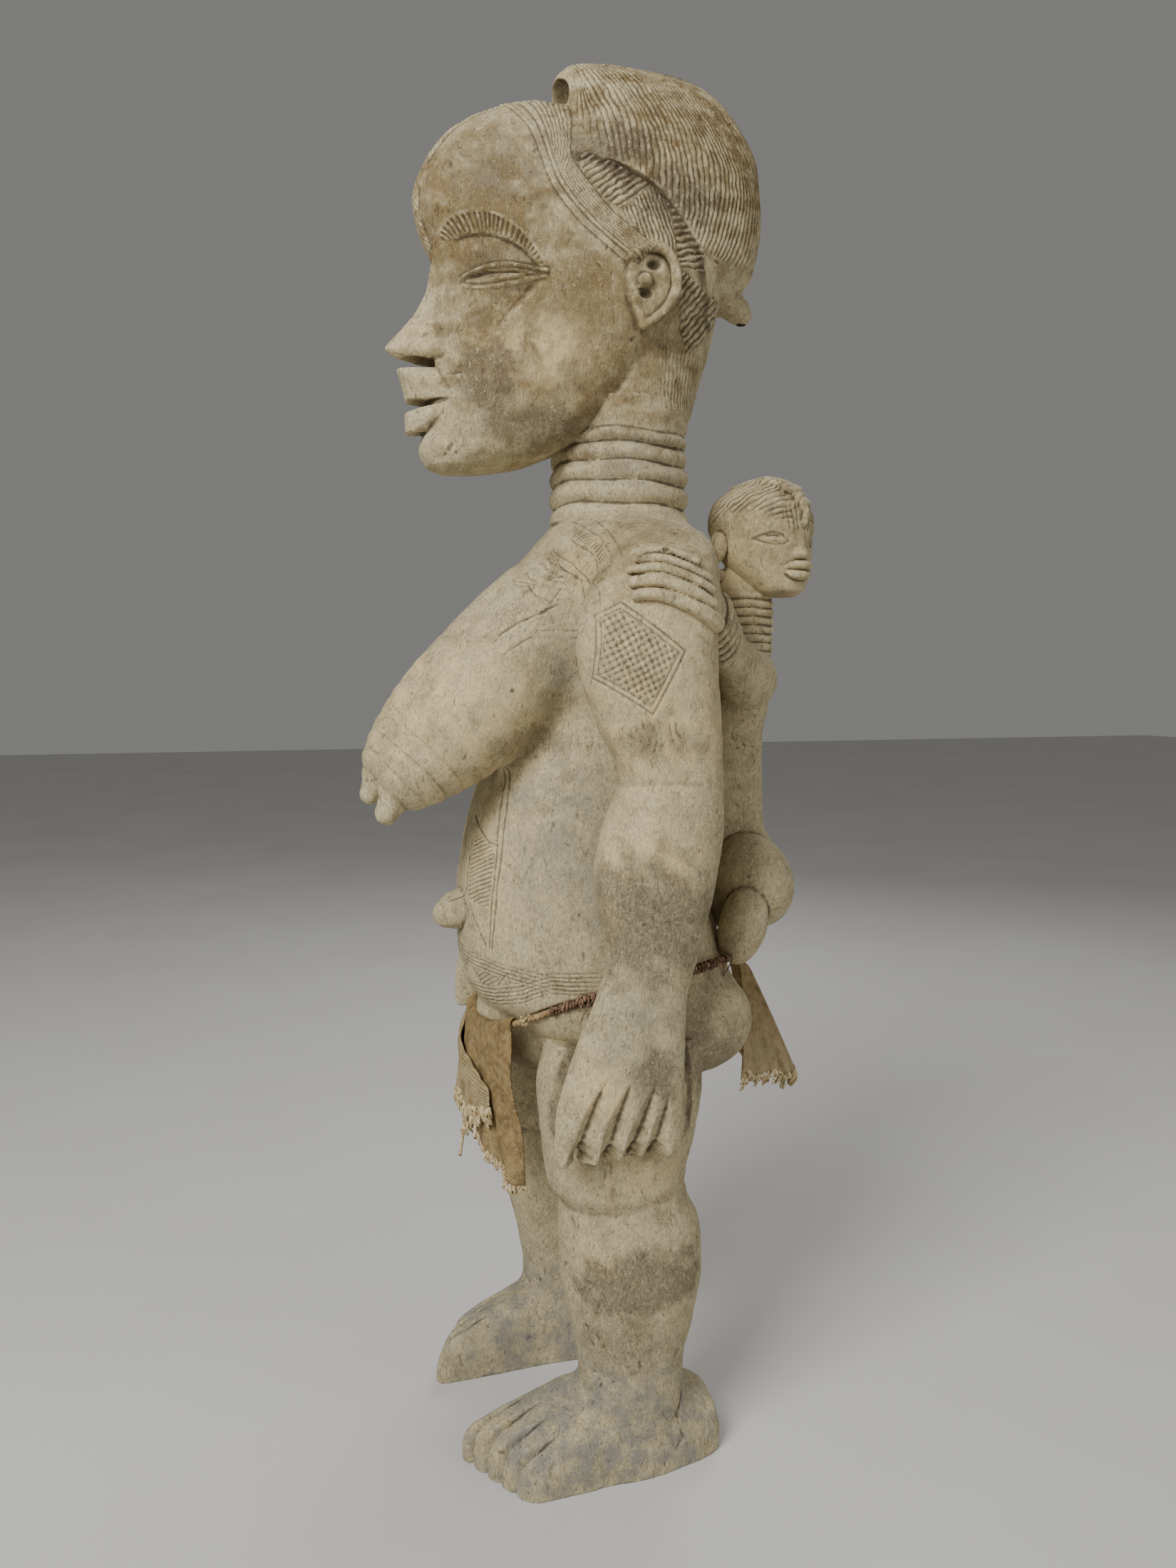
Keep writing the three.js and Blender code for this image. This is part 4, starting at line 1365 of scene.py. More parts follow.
TRUNK = [
    (282, 0, -36, 60, 10, 60),
    (300, 0, -58, 84, 8, 86),
    (320, 0, -78, 98, 6, 95),
    (342, 0, -95, 106, 4, 92),
    (372, 0, -99, 98, 0, 88),
    (405, 0, -99, 85, -6, 84),
    (450, 0, -93, 76, -4, 78),
    (510, 0, -74, 79, 6, 78),
    (550, 0, -56, 84, 14, 84),
    (590, 0, -47, 88, 20, 96),
    (620, 0, -44, 89, 24, 106),
    (645, 0, -40, 87, 26, 104),
    (662, 0, -34, 82, 26, 84),
    (673, 0, -27, 75, 25, 62),
    (684, 0, -20, 68, 24, 42),
]
BREAST = [
    (34, 6, 630, 34, 44),
    (38, -32, 598, 38, 48),
    (41, -68, 565, 38, 45),
    (42, -99, 535, 34, 41),
    (42, -128, 507, 27, 31),
    (41, -146, 489, 17, 20),
    (41, -151, 484, 12, 14),
]
NIPPLE = [(41, -146, 488, 10.5, 10), (41, -155, 476, 10.8, 9.5), (41, -158, 470, 9, 8)]
NAVEL = [(0, -88, 396, 18, 16), (0, -102, 392.5, 14.5, 14), (0, -109, 390, 10.5, 10.5)]
ARM = [
    (662, 94, 14, 48, 34, 14),
    (646, 103, -12, 54, 26, 26),
    (622, 108, -33, 52, 19, 31),
    (580, 112, -43, 52, 13, 34),
    (532, 112, -29, 55, 18, 33),
    (496, 112, -13, 57, 24, 31),
    (466, 112, -24, 58, 18, 31),
    (432, 112, -31, 54, 13, 31),
    (376, 117, -24, 39, 8, 22),
    (346, 120, -35, 30, 0, 17),
    (318, 124, -49, 28, -8, 14),
    (295, 126, -58, 27, -14, 12.5),
    (272, 128, -64, 25, -20, 11),
    (242, 128, -65, 24, -22, 10),
]
# Furrows between the fingers, (y, z) from the knuckles to the hem, and their size at each of those
FURROWS = [
    [(-31, 304), (-36, 292), (-41, 278), (-47, 258)],
    [(-15, 298), (-19, 286), (-23, 272), (-27, 254)],
    [(3, 297), (-1, 284), (-5, 270), (-10, 254)],
    [(15, 295), (12, 283), (9, 270), (5, 253)],
]
FURROW_SIZES = [(139.5, 1.4, 1.6), (139.3, 3.6, 4.6), (138.6, 5.6, 7.2), (137.6, 7.4, 9)]


@dataclass(frozen=True)
class Reach:
    """How far a hand lies forwards and higher than straight down."""

    forwards: float = 0.0
    raised: float = 0.0

    def arm(self) -> Loft:
        """Shape the arm down to the palm.

        Returns:
            The arm.
        """
        rows = []
        for z, x, front, back, widest, half in ARM:
            swing = min(max((466 - z) / 120, 0.0), 1.0)
            ahead = self.forwards * swing
            rows.append((z + self.raised * swing, x, front - ahead, back - ahead, widest - ahead, half))
        return Loft(rows, 2.25, 6)

    def furrows(self) -> list[Limb]:
        """Shape what is cut away between the fingers, widening to notches at their tips.

        Returns:
            The furrows, and the corner that is cut off before the first finger.
        """
        made = []
        for path in FURROWS:
            rows = [(x, y, z, deep, wide) for (y, z), (x, deep, wide) in zip(path, FURROW_SIZES)]
            y, z = path[-1]
            rows.append((134, y - 1, z - 12, 15, 10.5))
            rows = [(x, y - self.forwards, z + self.raised, deep, wide) for x, y, z, deep, wide in rows]
            made.append(Limb(rows, fullness=1.15, stride=5))
        corner = (-77 - self.forwards, 239 + self.raised, 15, 15)
        made.append(Limb([(100, *corner), (155, *corner)], (0, 1, 0)))
        return made


LEFT_HAND = Reach()
RIGHT_HAND = Reach(13, 42)


def join_arms(block: Block) -> None:
    """Add both arms and hands to a block.

    Args:
        block: takes them.
    """
    for hand, right in ((LEFT_HAND, False), (RIGHT_HAND, True)):
        arm = hand.arm().mirrored() if right else hand.arm()
        block.join(arm, 16, 596)
        for furrow in hand.furrows():
            block.carve(furrow.mirrored() if right else furrow, 0.8)


# Her hips under the cord: half their width, where they are widest, their back and their front
CORD_HALF, CORD_MIDDLE, CORD_BACK, CORD_FRONT = 94.0, 4.0, 107.0, -84.0
CORD_FULLNESS, CORD_LEAN = 2.2, 1.2


def cord_level(angle: Array) -> Array:
    """Level of the cord at an angle, 0 on her left and a quarter turn behind."""
    return 358 - 50 * ((1 - np.sin(angle)) / 2) ** 3


def cord_spot(angle: Array, outwards: float | Array = 0.0) -> Array:
    """Find points on the cord's route, or further out from it.

    Args:
        angle: as for cord_level.
        outwards: how far out from the route.

    Returns:
        The points.
    """
    c, s = np.cos(angle), np.sin(angle)
    power = 2 / CORD_FULLNESS
    c, s = np.sign(c) * np.abs(c) ** power, np.sign(s) * np.abs(s) ** power
    reach = np.where(s > 0, CORD_BACK - CORD_MIDDLE, CORD_MIDDLE - CORD_FRONT)
    lean = np.stack([np.sign(c) * np.abs(c) ** CORD_LEAN / CORD_HALF,
                     np.sign(s) * np.abs(s) ** CORD_LEAN / reach], axis=-1)
    lean = lean / np.linalg.norm(lean, axis=-1, keepdims=True)
    flat = np.stack([CORD_HALF * c, CORD_MIDDLE + reach * s], axis=-1)
    flat = flat + lean * np.asarray(outwards)[..., None]
    return np.concatenate([flat, cord_level(angle)[..., None]], axis=-1)


def join_trunk(block: Block) -> None:
    """Add the trunk with her buttocks and lower belly to a block.

    Args:
        block: takes them.
    """
    block.join(Loft(TRUNK, 2.2, 4))
    block.join_both(Lump((53, 60, 312), (45, 48, 40)), 12)
    block.join(Lump((0, -27, 301), (50, 50, 36)), 14)
    block.join(Lump((0, -50, 316), (40, 36, 22)), 8)


def carve_cord_seat(block: Block) -> None:
    """Cut the groove that the hip cord lies in."""
    route = cord_spot(np.linspace(0, FULL_TURN, 73), 2)
    block.carve(Limb([(*p, 3.3, 3.3) for p in route], stride=9), 1)


# Lines cut into the skin as seen from the front, (|x|, z)
BELLY_LINES = [
    [(38, 504), (45, 472), (49, 430), (50, 402), (47, 372)],
    [(35, 501), (40, 472), (44, 444), (47, 416), (45, 373)],
    [(11, 463), (36, 447), (44, 445)],
    [(14, 446), (16, 412), (9, 400)],
    [(20, 403), (29, 390), (42, 374)],
]
BELLY_HATCH = [(40, 446), (44, 438), (46, 413), (44, 400), (20, 404), (17, 433), (18, 452)]
CHEST_LINES = [
    [(51, 672), (70, 663), (86, 653), (115, 642)],
    [(32, 673), (47, 669), (72, 658), (88, 647), (116, 636)],
    [(54, 657), (75, 647), (86, 634), (120, 619), (125, 609)],
    [(42, 653), (65, 641), (81, 626), (116, 603)],
    [(46, 649), (61, 639), (75, 628), (83, 608)],
    [(57, 643), (68, 633), (64, 629), (57, 643)],
    [(39, 630), (57, 627), (71, 614), (72, 612)],
    [(42, 620), (50, 626), (60, 624), (68, 616)],
    [(70, 622), (72, 611), (76, 591), (75, 578)],
    [(76, 594), (118, 597)],
    [(76, 589), (116, 591)],
]
CHEST_HATCH = [(36, 671), (47, 667), (72, 656), (88, 645), (116, 634), (120, 621), (86, 636), (75, 649),
               (54, 659)]
BREAST_HATCH = [(48, 649), (62, 640), (66, 636), (70, 626), (58, 628), (46, 631)]
ZIGZAG = [(0, 345), (17, 360), (33, 343), (35, 334), (49, 345), (58, 357), (62, 334), (73, 351), (78, 338),
          (90, 350)]
BAND_TOP = [(0, 367), (42, 365), (66, 361), (77, 358), (90, 355)]
BAND_LOW = [(0, 326), (9, 327), (46, 331), (66, 337), (78, 345)]
# The lozenge on the upper arm as seen from the side, (y, z)
LOZENGE = [(-36, 602), (-22, 610), (18, 579), (-3, 539), (-38, 562)]


@dataclass(frozen=True)
class UpperBody(CarvedPiece):
    """Ringed neck, chest, breasts, belly and both arms down to the wrists."""

    name: str = "upper_body"
    step: float = 1.0
    triangles: int = 198_000
    low: Row = (-151, -168, 296)
    high: Row = (151, 112, 764)
    nicks: int = 140

    def shape(self, block: Block) -> None:
        """Join trunk, neck, breasts, navel and arms, and saw them off at the hips."""
        join_trunk(block)
        neck = [(676, 50), (694, 50.5), (716, 49.5), (740, 48.5), (762, 47.5)]
        block.join(Ringed(0, 24, neck, (671, 686, 702, 716, 728.5, 739), 2.6, 1.1), 3)
        for side, lift in ((1, 0.0), (-1, 6.0)):
            for rows, blend, stride in ((BREAST, 14, 12), (NIPPLE, 1.5, 7)):
                raised = []
                for x, y, z, *size in rows:
                    raised.append((side * x, y, z + lift * min(max((-y - 40) / 90, 0), 1), *size))
                block.join(Limb(raised, stride=stride), blend)
        block.join(Limb(NAVEL), 1.5)
        join_arms(block)
        carve_cord_seat(block)
        block.saw(300, True, 0.9)

    def cuts(self) -> list[Cut]:
        """See CarvedPiece."""
        return [
            (self._belly, (-92, -110, 310), (92, -10, 510)),
            (self._chest, (-150, -110, 570), (150, 60, 690)),
            (self._breasts, (-110, -165, 460), (110, -10, 665)),
            (self._upper_arm, (-150, -60, 470), (150, 70, 625)),
            (self._wear, (-155, -170, 296), (155, 120, 770)),
        ]

    def _belly(self, tool: Chisel) -> None:
        """Engraved panel beside the navel and the banded zigzag over the lower belly.

        Args:
            tool: cuts them.
        """
        a, z = np.abs(tool.points[:, 0]), tool.points[:, 2]
        ahead = soft_step(0.05, 0.25, -tool.normals[:, 1])
        for line in BELLY_LINES:
            tool.groove(tool.front(line), 1.2, 0.85, ahead)
        wobble = tool.noise(16, 7)
        hatch = inside(a, z, BELLY_HATCH, 0.8) * ahead
        tool.hatch((0.92 * z - 0.39 * a) / 3.0 + 0.08 * wobble, 0.75, hatch)
        top = z - np.interp(a, *zip(*BAND_TOP))
        low = z - np.interp(a, *zip(*BAND_LOW))
        upper = ahead * soft_step(-12, -11, top) * (1 - soft_step(-0.5, 0.5, top))
        tool.hatch(top / 2.9 + 0.05 * wobble, 0.65, upper)
        lower = ahead * soft_step(-0.5, 0.5, low) * (1 - soft_step(14, 15, low))
        tool.hatch(low / 2.9 + 0.06 * wobble, 0.75, lower)
        tool.groove(tool.front(ZIGZAG), 1.3, 0.9, ahead * soft_step(13, 15, low))
        field = ahead * (1 - soft_step(-12.5, -11.5, top)) * soft_step(14.5, 15.5, low)
        above = soft_step(-0.5, 0.5, z - np.interp(a, *zip(*ZIGZAG)))
        tool.hatch((0.86 * z - 0.5 * a) / 3.0 + 0.1 * wobble, 0.75, field * above)
        tool.hatch((0.8 * z + 0.6 * a) / 3.2 + 0.1 * wobble, 0.6, field * (1 - above) * (a > 40))

    def _chest(self, tool: Chisel) -> None:
        """Fine lines and hatching over the collar bones and the tops of the breasts.

        Args:
            tool: cuts them.
        """
        a, z = np.abs(tool.points[:, 0]), tool.points[:, 2]
        ahead = soft_step(-0.15, 0.1, -tool.normals[:, 1]) * (1 - soft_step(10, 24, tool.points[:, 1]))
        wobble = tool.noise(14, 8)
        for line in CHEST_LINES:
            tool.groove(tool.front(line), 1.2, 0.38, ahead)
        tool.hatch((0.9 * a - 0.42 * z) / 3.2 + 0.1 * wobble, 0.6, inside(a, z, CHEST_HATCH, 0.6) * ahead)
        tool.hatch((0.5 * a + 0.86 * z) / 3.2 + 0.1 * wobble, 0.5, inside(a, z, BREAST_HATCH, 0.6) * ahead)

    def _breasts(self, tool: Chisel) -> None:
        """Worn growth rings at the tips of the breasts and a crack beside one.

        Args:
            tool: cuts them.
        """
        x, y, z = tool.points.T
        r = np.sqrt((np.abs(x) - 41) ** 2 + (y + 150) ** 2 + (z - 485) ** 2)
        rings = (1 - soft_step(40, 64, r)) * soft_step(14, 20, r)
        tool.lift += 0.14 * np.sin(r * 1.1 + 0.5 * tool.noise(30, 12)) * rings
        crack = tool.side([(-85, 591), (-71, 600), (-57, 606), (-45, 612)])
        tool.groove(crack + 0.5 * tool.noise(9, 13), 1.5, 1.2, (x > 55) * (x < 95))

    def _upper_arm(self, tool: Chisel) -> None:
        """Lozenge of small squares on the upper arm and worn gouges below it.

        Args:
            tool: cuts them.
        """
        x, y, z = tool.points.T
        outer = soft_step(0.15, 0.4, np.abs(tool.normals[:, 0])) * soft_step(98, 104, np.abs(x))
        near = tool.side([*LOZENGE, LOZENGE[0]])
        tool.groove(near, 1.2, 0.7, outer)
        filled = inside(y, z, LOZENGE, 0.5) * outer
        tool.groove(np.abs(near - 3.6), 1.1, 0.6, filled)
        grid = soft_step(4.0, 4.8, near) * filled
        wobble = tool.noise(15, 14)
        for cy, cz in ((0.95, 0.42), (-0.5, 0.87)):
            tool.hatch((cy * y + cz * z) / 4.0 + 0.09 * wobble, 0.6, grid, 1.5)
        worn = soft_step(-30, -18, y) * (1 - soft_step(8, 22, y)) * (1 - soft_step(530, 545, z))
        worn = worn * soft_step(496, 512, z) * outer * soft_step(-0.4, 0.8, tool.noise(17, 15))
        tool.hatch((y + 0.12 * z) / 5.5 + 0.35 * wobble, 0.55, worn)

    def _wear(self, tool: Chisel) -> None:
        """Elbow creases and pits.

        Args:
            tool: cuts them.
        """
        outer = soft_step(92, 98, np.abs(tool.points[:, 0]))
        elbow = tool.side([(-16, 491), (4, 495), (30, 493)])
        tool.lift -= 1.0 * (1 - soft_step(0, 7, elbow)) * outer
        tool.pits([
            ((126, -23, 555), 2.4, 0.8),
            ((118, -14, 600), 2.0, 0.7),
            ((114, 24, 657), 2.2, 1.4),
            ((70, -116, 560), 1.8, 0.5),
            ((55, -76, 417), 1.4, 0.8),
        ])


SHANK = [
    (326, 64, -44, 58, 8, 36),
    (280, 77, -61, 58, 0, 43),
    (240, 78, -58, 52, -2, 42),
    (210, 78, -54, 45, -3, 40),
    (196, 78, -45, 47, 0, 38),
    (172, 78, -46, 57, 6, 40),
    (140, 78, -44, 58, 8, 40),
    (104, 78, -36, 52, 8, 36),
    (70, 78, -31, 45, 7, 33),
    (-6, 78, -34, 48, 7, 31),
]
FOOT = [
    (75, 66, 88, 24, 0, 0),
    (66, 54, 99, 43, 0, 0),
    (36, 46, 107, 57, 0, 0),
    (-32, 45, 111, 62, 6, 0),
    (-64, 44, 112, 52, 18, 0),
    (-84, 44, 112, 44.5, 27, 1.5),
    (-97, 44, 112, 39, 32, 4.5),
    (-109, 44, 112, 32, 36, 7),
    (-115, 46, 110, 24, 36, 7),
]


@dataclass
class Foot(Form):
    """Foot that slants back towards the little toe, with five long toes split by clefts.

    Rows are (y, inner x, outer x, top, slant, depth of the clefts).
    """

    rows: Sequence[Row]
    flip: float = 1.0

    def mirrored(self) -> "Foot":
        """See Form."""
        return replace(self, flip=-self.flip)

    def box(self) -> tuple[Array, Array]:
        """See Form."""
        ends = sorted((self.flip * 40, self.flip * 116))
        return np.array([ends[0], -120, -4]), np.array([ends[1], 80, 68])

    def distance(self, x: Array, y: Array, z: Array) -> Array:
        """See Form."""
        x = x * self.flip
        flat = np.broadcast_shapes(x.shape, y.shape)[:2]
        px, py = np.broadcast_to(x[:, :, 0], flat), np.broadcast_to(y[:, :, 0], flat)
        row = py.copy()
        for _ in range(4):
            values = smooth_table(self.rows, row.ravel()).reshape(*flat, 5)
            t = np.clip((px - values[..., 0]) / (values[..., 1] - values[..., 0]), 0, 1)
            row = py - values[..., 3] * t
        inner, outer, top, _, cleft = np.moveaxis(values, -1, 0)
        toe = 5 * t
        split = np.abs(toe - np.round(toe))
        between = (np.round(toe) > 0.5) & (np.round(toe) < 4.5)
        notch = np.where(between, np.clip(1 - split / 0.2, 0, 1) ** 1.2, 0)
        crown = np.sqrt(np.maximum(1 - (2 * (toe - np.floor(toe)) - 1) ** 2, 0))
        dome = np.sqrt(np.maximum(1 - np.abs(2 * t - 1) ** 3.2, 0))
        height = top * (0.35 + 0.65 * dome) * (1 - 0.25 * t)
        share = soft_step(0, 7, cleft)
        height = height - notch * cleft * 1.7 + (crown - 1) * 2.4 * share
        tip = -115 + 3.2 * (1 - crown) + 3.0 * notch
        ahead = (tip - row)[:, :, None]
        behind = (row - 75)[:, :, None]
        side = np.maximum(inner - px, px - outer)[:, :, None]
        over = 0.8 * (z - height[:, :, None])
        out = -soft_min(-over, -side, 5)
        out = -soft_min(-out, -ahead, 9)
        return -soft_min(-out, -behind, 8)


@dataclass(frozen=True)
class LowerBody(CarvedPiece):
    """Hips, hands, legs with swollen calves and broad feet."""

    name: str = "lower_body"
    step: float = 1.15
    triangles: int = 190_000
    low: Row = (-151, -122, -2)
    high: Row = (151, 112, 312)
    nicks: int = 160

    def shape(self, block: Block) -> None:
        """Join hips, legs, feet and hands, and saw them off at the hips and the soles."""
        join_trunk(block)
        block.join_both(Loft(SHANK, 2.2, 4), 8)
        block.join_both(Foot(FOOT), 9)
        join_arms(block)
        carve_cord_seat(block)
        block.carve(Lump((112, 74, -2), (17, 15, 10)), 3)
        block.saw(309, False, 0.9).saw(0, True)

    def cuts(self) -> list[Cut]:
        """See CarvedPiece."""
        return [
            (self._legs, (-120, -122, -3), (120, 90, 312)),
        ]

    def _legs(self, tool: Chisel) -> None:
        """Knee creases, a drying crack, shade under the left hand and pits.

        Args:
            tool: cuts them.
        """
        x, y, z = tool.points.T
        a = np.abs(x)
        knee = 196 + 9 * soft_step(-40, 40, y)
        tool.lift -= 0.7 * (1 - soft_step(0, 8, np.abs(z - knee))) * (a < 118)
        outer = soft_step(0.2, 0.5, tool.normals[:, 0]) * (x > 0)
        wobble = 0.6 * tool.noise(12, 17)
        tool.groove(tool.side([(40, 50), (33, 38), (36, 22), (27, 10)]) + 2 * wobble, 1.1, 0.5, outer)
        # Painted shadow: a dark band on the thigh along the left hand's edge, leaning with the view from the
        # camera
        edge = np.interp(z, (243, 272, 295, 318, 346), (-64, -64, -58, -49, -35)) + 0.3 * (127 - x)
        under = soft_step(-7, -2, y - edge) * (y < 40) * soft_step(246, 254, z) * (1 - soft_step(345, 350, z))
        tool.lay_dirt_and_shade(0.85 * under * (x > 70) * (x < 113))
        tool.pits([
            ((96, -32, 122), 2.0, 1.0),
            ((112, 18, 240), 2.4, 0.8),
            ((108, -40, 12), 3.0, 0.8),
        ])


CHILD_BODY = [
    (372, 4, 84, 152, 120, 34),
    (400, 4, 82, 160, 122, 42),
    (425, 4, 82, 152, 118, 36),
    (452, 4, 82, 141, 114, 26),
    (515, 4, 86, 139, 115, 25),
    (542, 4, 88, 142, 118, 33),
    (562, 4, 94, 143, 122, 34),
    (586, 4, 112, 139, 125, 14),
]
CHILD_ARM = [(20, 124, 568, 15, 12), (42, 117, 561, 21, 17), (58, 103, 562, 22, 17), (66, 91, 573, 19, 14)]
CHILD_FOREARM = [
    (64, 91, 574, 18, 13),
    (78, 78, 584, 18, 12),
    (92, 66, 594, 18, 11),
    (104, 56, 602, 18, 10),
    (118, 45, 611, 18, 9),
]
# The child's fingers from the lowest up: (y, z, half height) from the tip backwards
CHILD_FINGERS = [
    [(-13, 614, 3.4), (-4.5, 615, 3.7), (8, 613, 3.9), (21, 608, 4.4), (34, 602, 5.2), (44, 597, 6)],
    [(-13.5, 622.5, 3.8), (2, 624, 4.3), (15, 620.5, 4.3), (27, 615.5, 4), (39, 609.5, 3.6)],
    [(-14, 630.5, 2.8), (2, 632, 3), (16, 628.5, 3), (29, 623.5, 3), (39, 618.5, 2.8)],
    [(-8, 637.5, 2.6), (5.5, 638.5, 2.8), (17, 635, 2.8), (29, 630, 2.8), (38, 625.5, 2.6)],
    [(-3, 643, 2.4), (9, 644, 2.5), (19, 641.5, 2.5), (30, 636.5, 2.5)],
]


@dataclass(frozen=True)
class Child(CarvedPiece):
    """The child on her back: trunk, ringed neck, arms with bracelets, and legs round her hips."""

    name: str = "child"
    step: float = 1.1
    triangles: int = 130_000
    low: Row = (-158, -18, 344)
    high: Row = (158, 166, 656)

    def shape(self, block: Block) -> None:
        """Join the child's trunk, neck, arms, bracelets, fingers and legs."""
        block.join(Loft(CHILD_BODY, 2.2, 5))
        block.join(Ringed(4, 125, [(570, 19), (586, 23), (628, 22.5), (638, 18), (648, 15)],
                          (583, 589.5, 596, 602.5, 609, 615.5, 622, 629), 1.4, 0.3), 2)
        block.join_both(Limb(CHILD_ARM, (0, 0, 1)), 5)
        block.join_both(Limb(CHILD_FOREARM, (0, 0, 1)), 1.5)
        for t in np.linspace(0, 1, 5):
            block.join_both(self._bracelet(np.array([105 - 21 * t, 55 + 17 * t, 603 - 15 * t])), 0.4)
        for k, path in enumerate(CHILD_FINGERS):
            bar = [(self._shoulder(y, z) + 1.3, y, z, half + 0.3, 5.4 - 0.3 * k) for y, z, half in path]
            block.join_both(Limb(bar, (0, 0, 1), 2.4, 6), 0.6)
        palm = [(118, 45, 611, 18, 9), (129, 34, 613, 17, 8), (132, 14, 622, 14, 6)]
        block.join_both(Limb(palm, (0, 0, 1), 3), 2)
        block.join_both(Lump((36, 120, 409), (34, 30, 37), 24), 2.5)
        block.join_both(Lump((60, 101, 380), (17, 18, 30), -14), 2)

    def cuts(self) -> list[Cut]:
        """See CarvedPiece."""
        return [
            (self._marks, (-160, -20, 340), (160, 170, 660)),
        ]

    def _shoulder(self, y: float, z: float) -> float:
        """Find her upper arm's skin under the hand.

        Args:
            y: a place from front to back.
            z: its level.

        Returns:
            Her left arm's x there.
        """
        middle, front, back, widest, half = smooth_table(ARM, np.array([z]))[0]
        t = (y - widest) / (back - widest if y > widest else widest - front)
        return middle + half * max(1 - abs(t) ** 2.25, 0) ** (1 / 2.25)

    def _bracelet(self, middle: Array) -> Limb:
        """Shape a ring round the forearm.

        Args:
            middle: the middle of the forearm there.

        Returns:
            The ring.
        """
        along = np.array([0.68, -0.55, 0.48])
        up = np.cross(along, (0.63, 0.78, 0.0))
        up /= np.linalg.norm(up)
        flat = np.cross(up, along)
        turn = np.linspace(0, FULL_TURN, 25)[:, None]
        ring = middle + 18.6 * np.cos(turn) * up + 11.6 * np.sin(turn) * flat
        return Limb([(*p, 2.3, 2.6) for p in ring], tuple(along), stride=5)

    def _marks(self, tool: Chisel) -> None:
        """Broken finger and pits.

        Args:
            tool: cuts them.
        """
        tool.pits([
            ((133, -10, 643), 4.6, 2.4),
            ((131, -5, 640), 3.0, 1.2),
            ((134, 9, 645), 2.6, 1.6),
            ((130, -14, 628), 3.0, 1.0),
            ((60, 140, 420), 2.2, 0.8),
        ])


CHILD_SKULL = [
    (-38.5, 0, -30, -6, -20, 12),
    (-34, 0, -37, 4, -18, 19.5),
    (-26, 0, -39, 12, -14, 25.5),
    (-14, 0, -40, 24, -8, 31),
    (0, 0, -41, 34, -4, 34),
    (16, 0, -41.5, 40, 0, 35.5),
    (30, 0, -37, 38, 2, 30.5),
    (40, 0, -25, 29, 3, 20),
    (46, 0, -8, 15, 3, 7),
]
CHILD_NOSE = [
    (-12, 0, -44, -30, -38, 8),
    (-8.5, 0, -46.5, -30, -38, 8.5),
    (-2, 0, -43.5, -30, -38, 6),
    (8, 0, -42, -30, -37, 5),
]
CHILD_LIPS = [
    [(0, -42, -16.5, 3.2, 5), (7, -39.5, -16.8, 2.8, 5), (13, -34.5, -19.3, 1, 2.5)],
    [(0, -41, -23.8, 3.6, 5), (6, -39, -23.4, 3.2, 5), (12, -34.5, -20.6, 1, 2.5)],
]
CHILD_EYE = [(12, 0), (16, 4.4), (22, 6.3), (27, 4.6), (30.5, 2.2), (26, -1), (20, -2.4), (15, -1.8)]


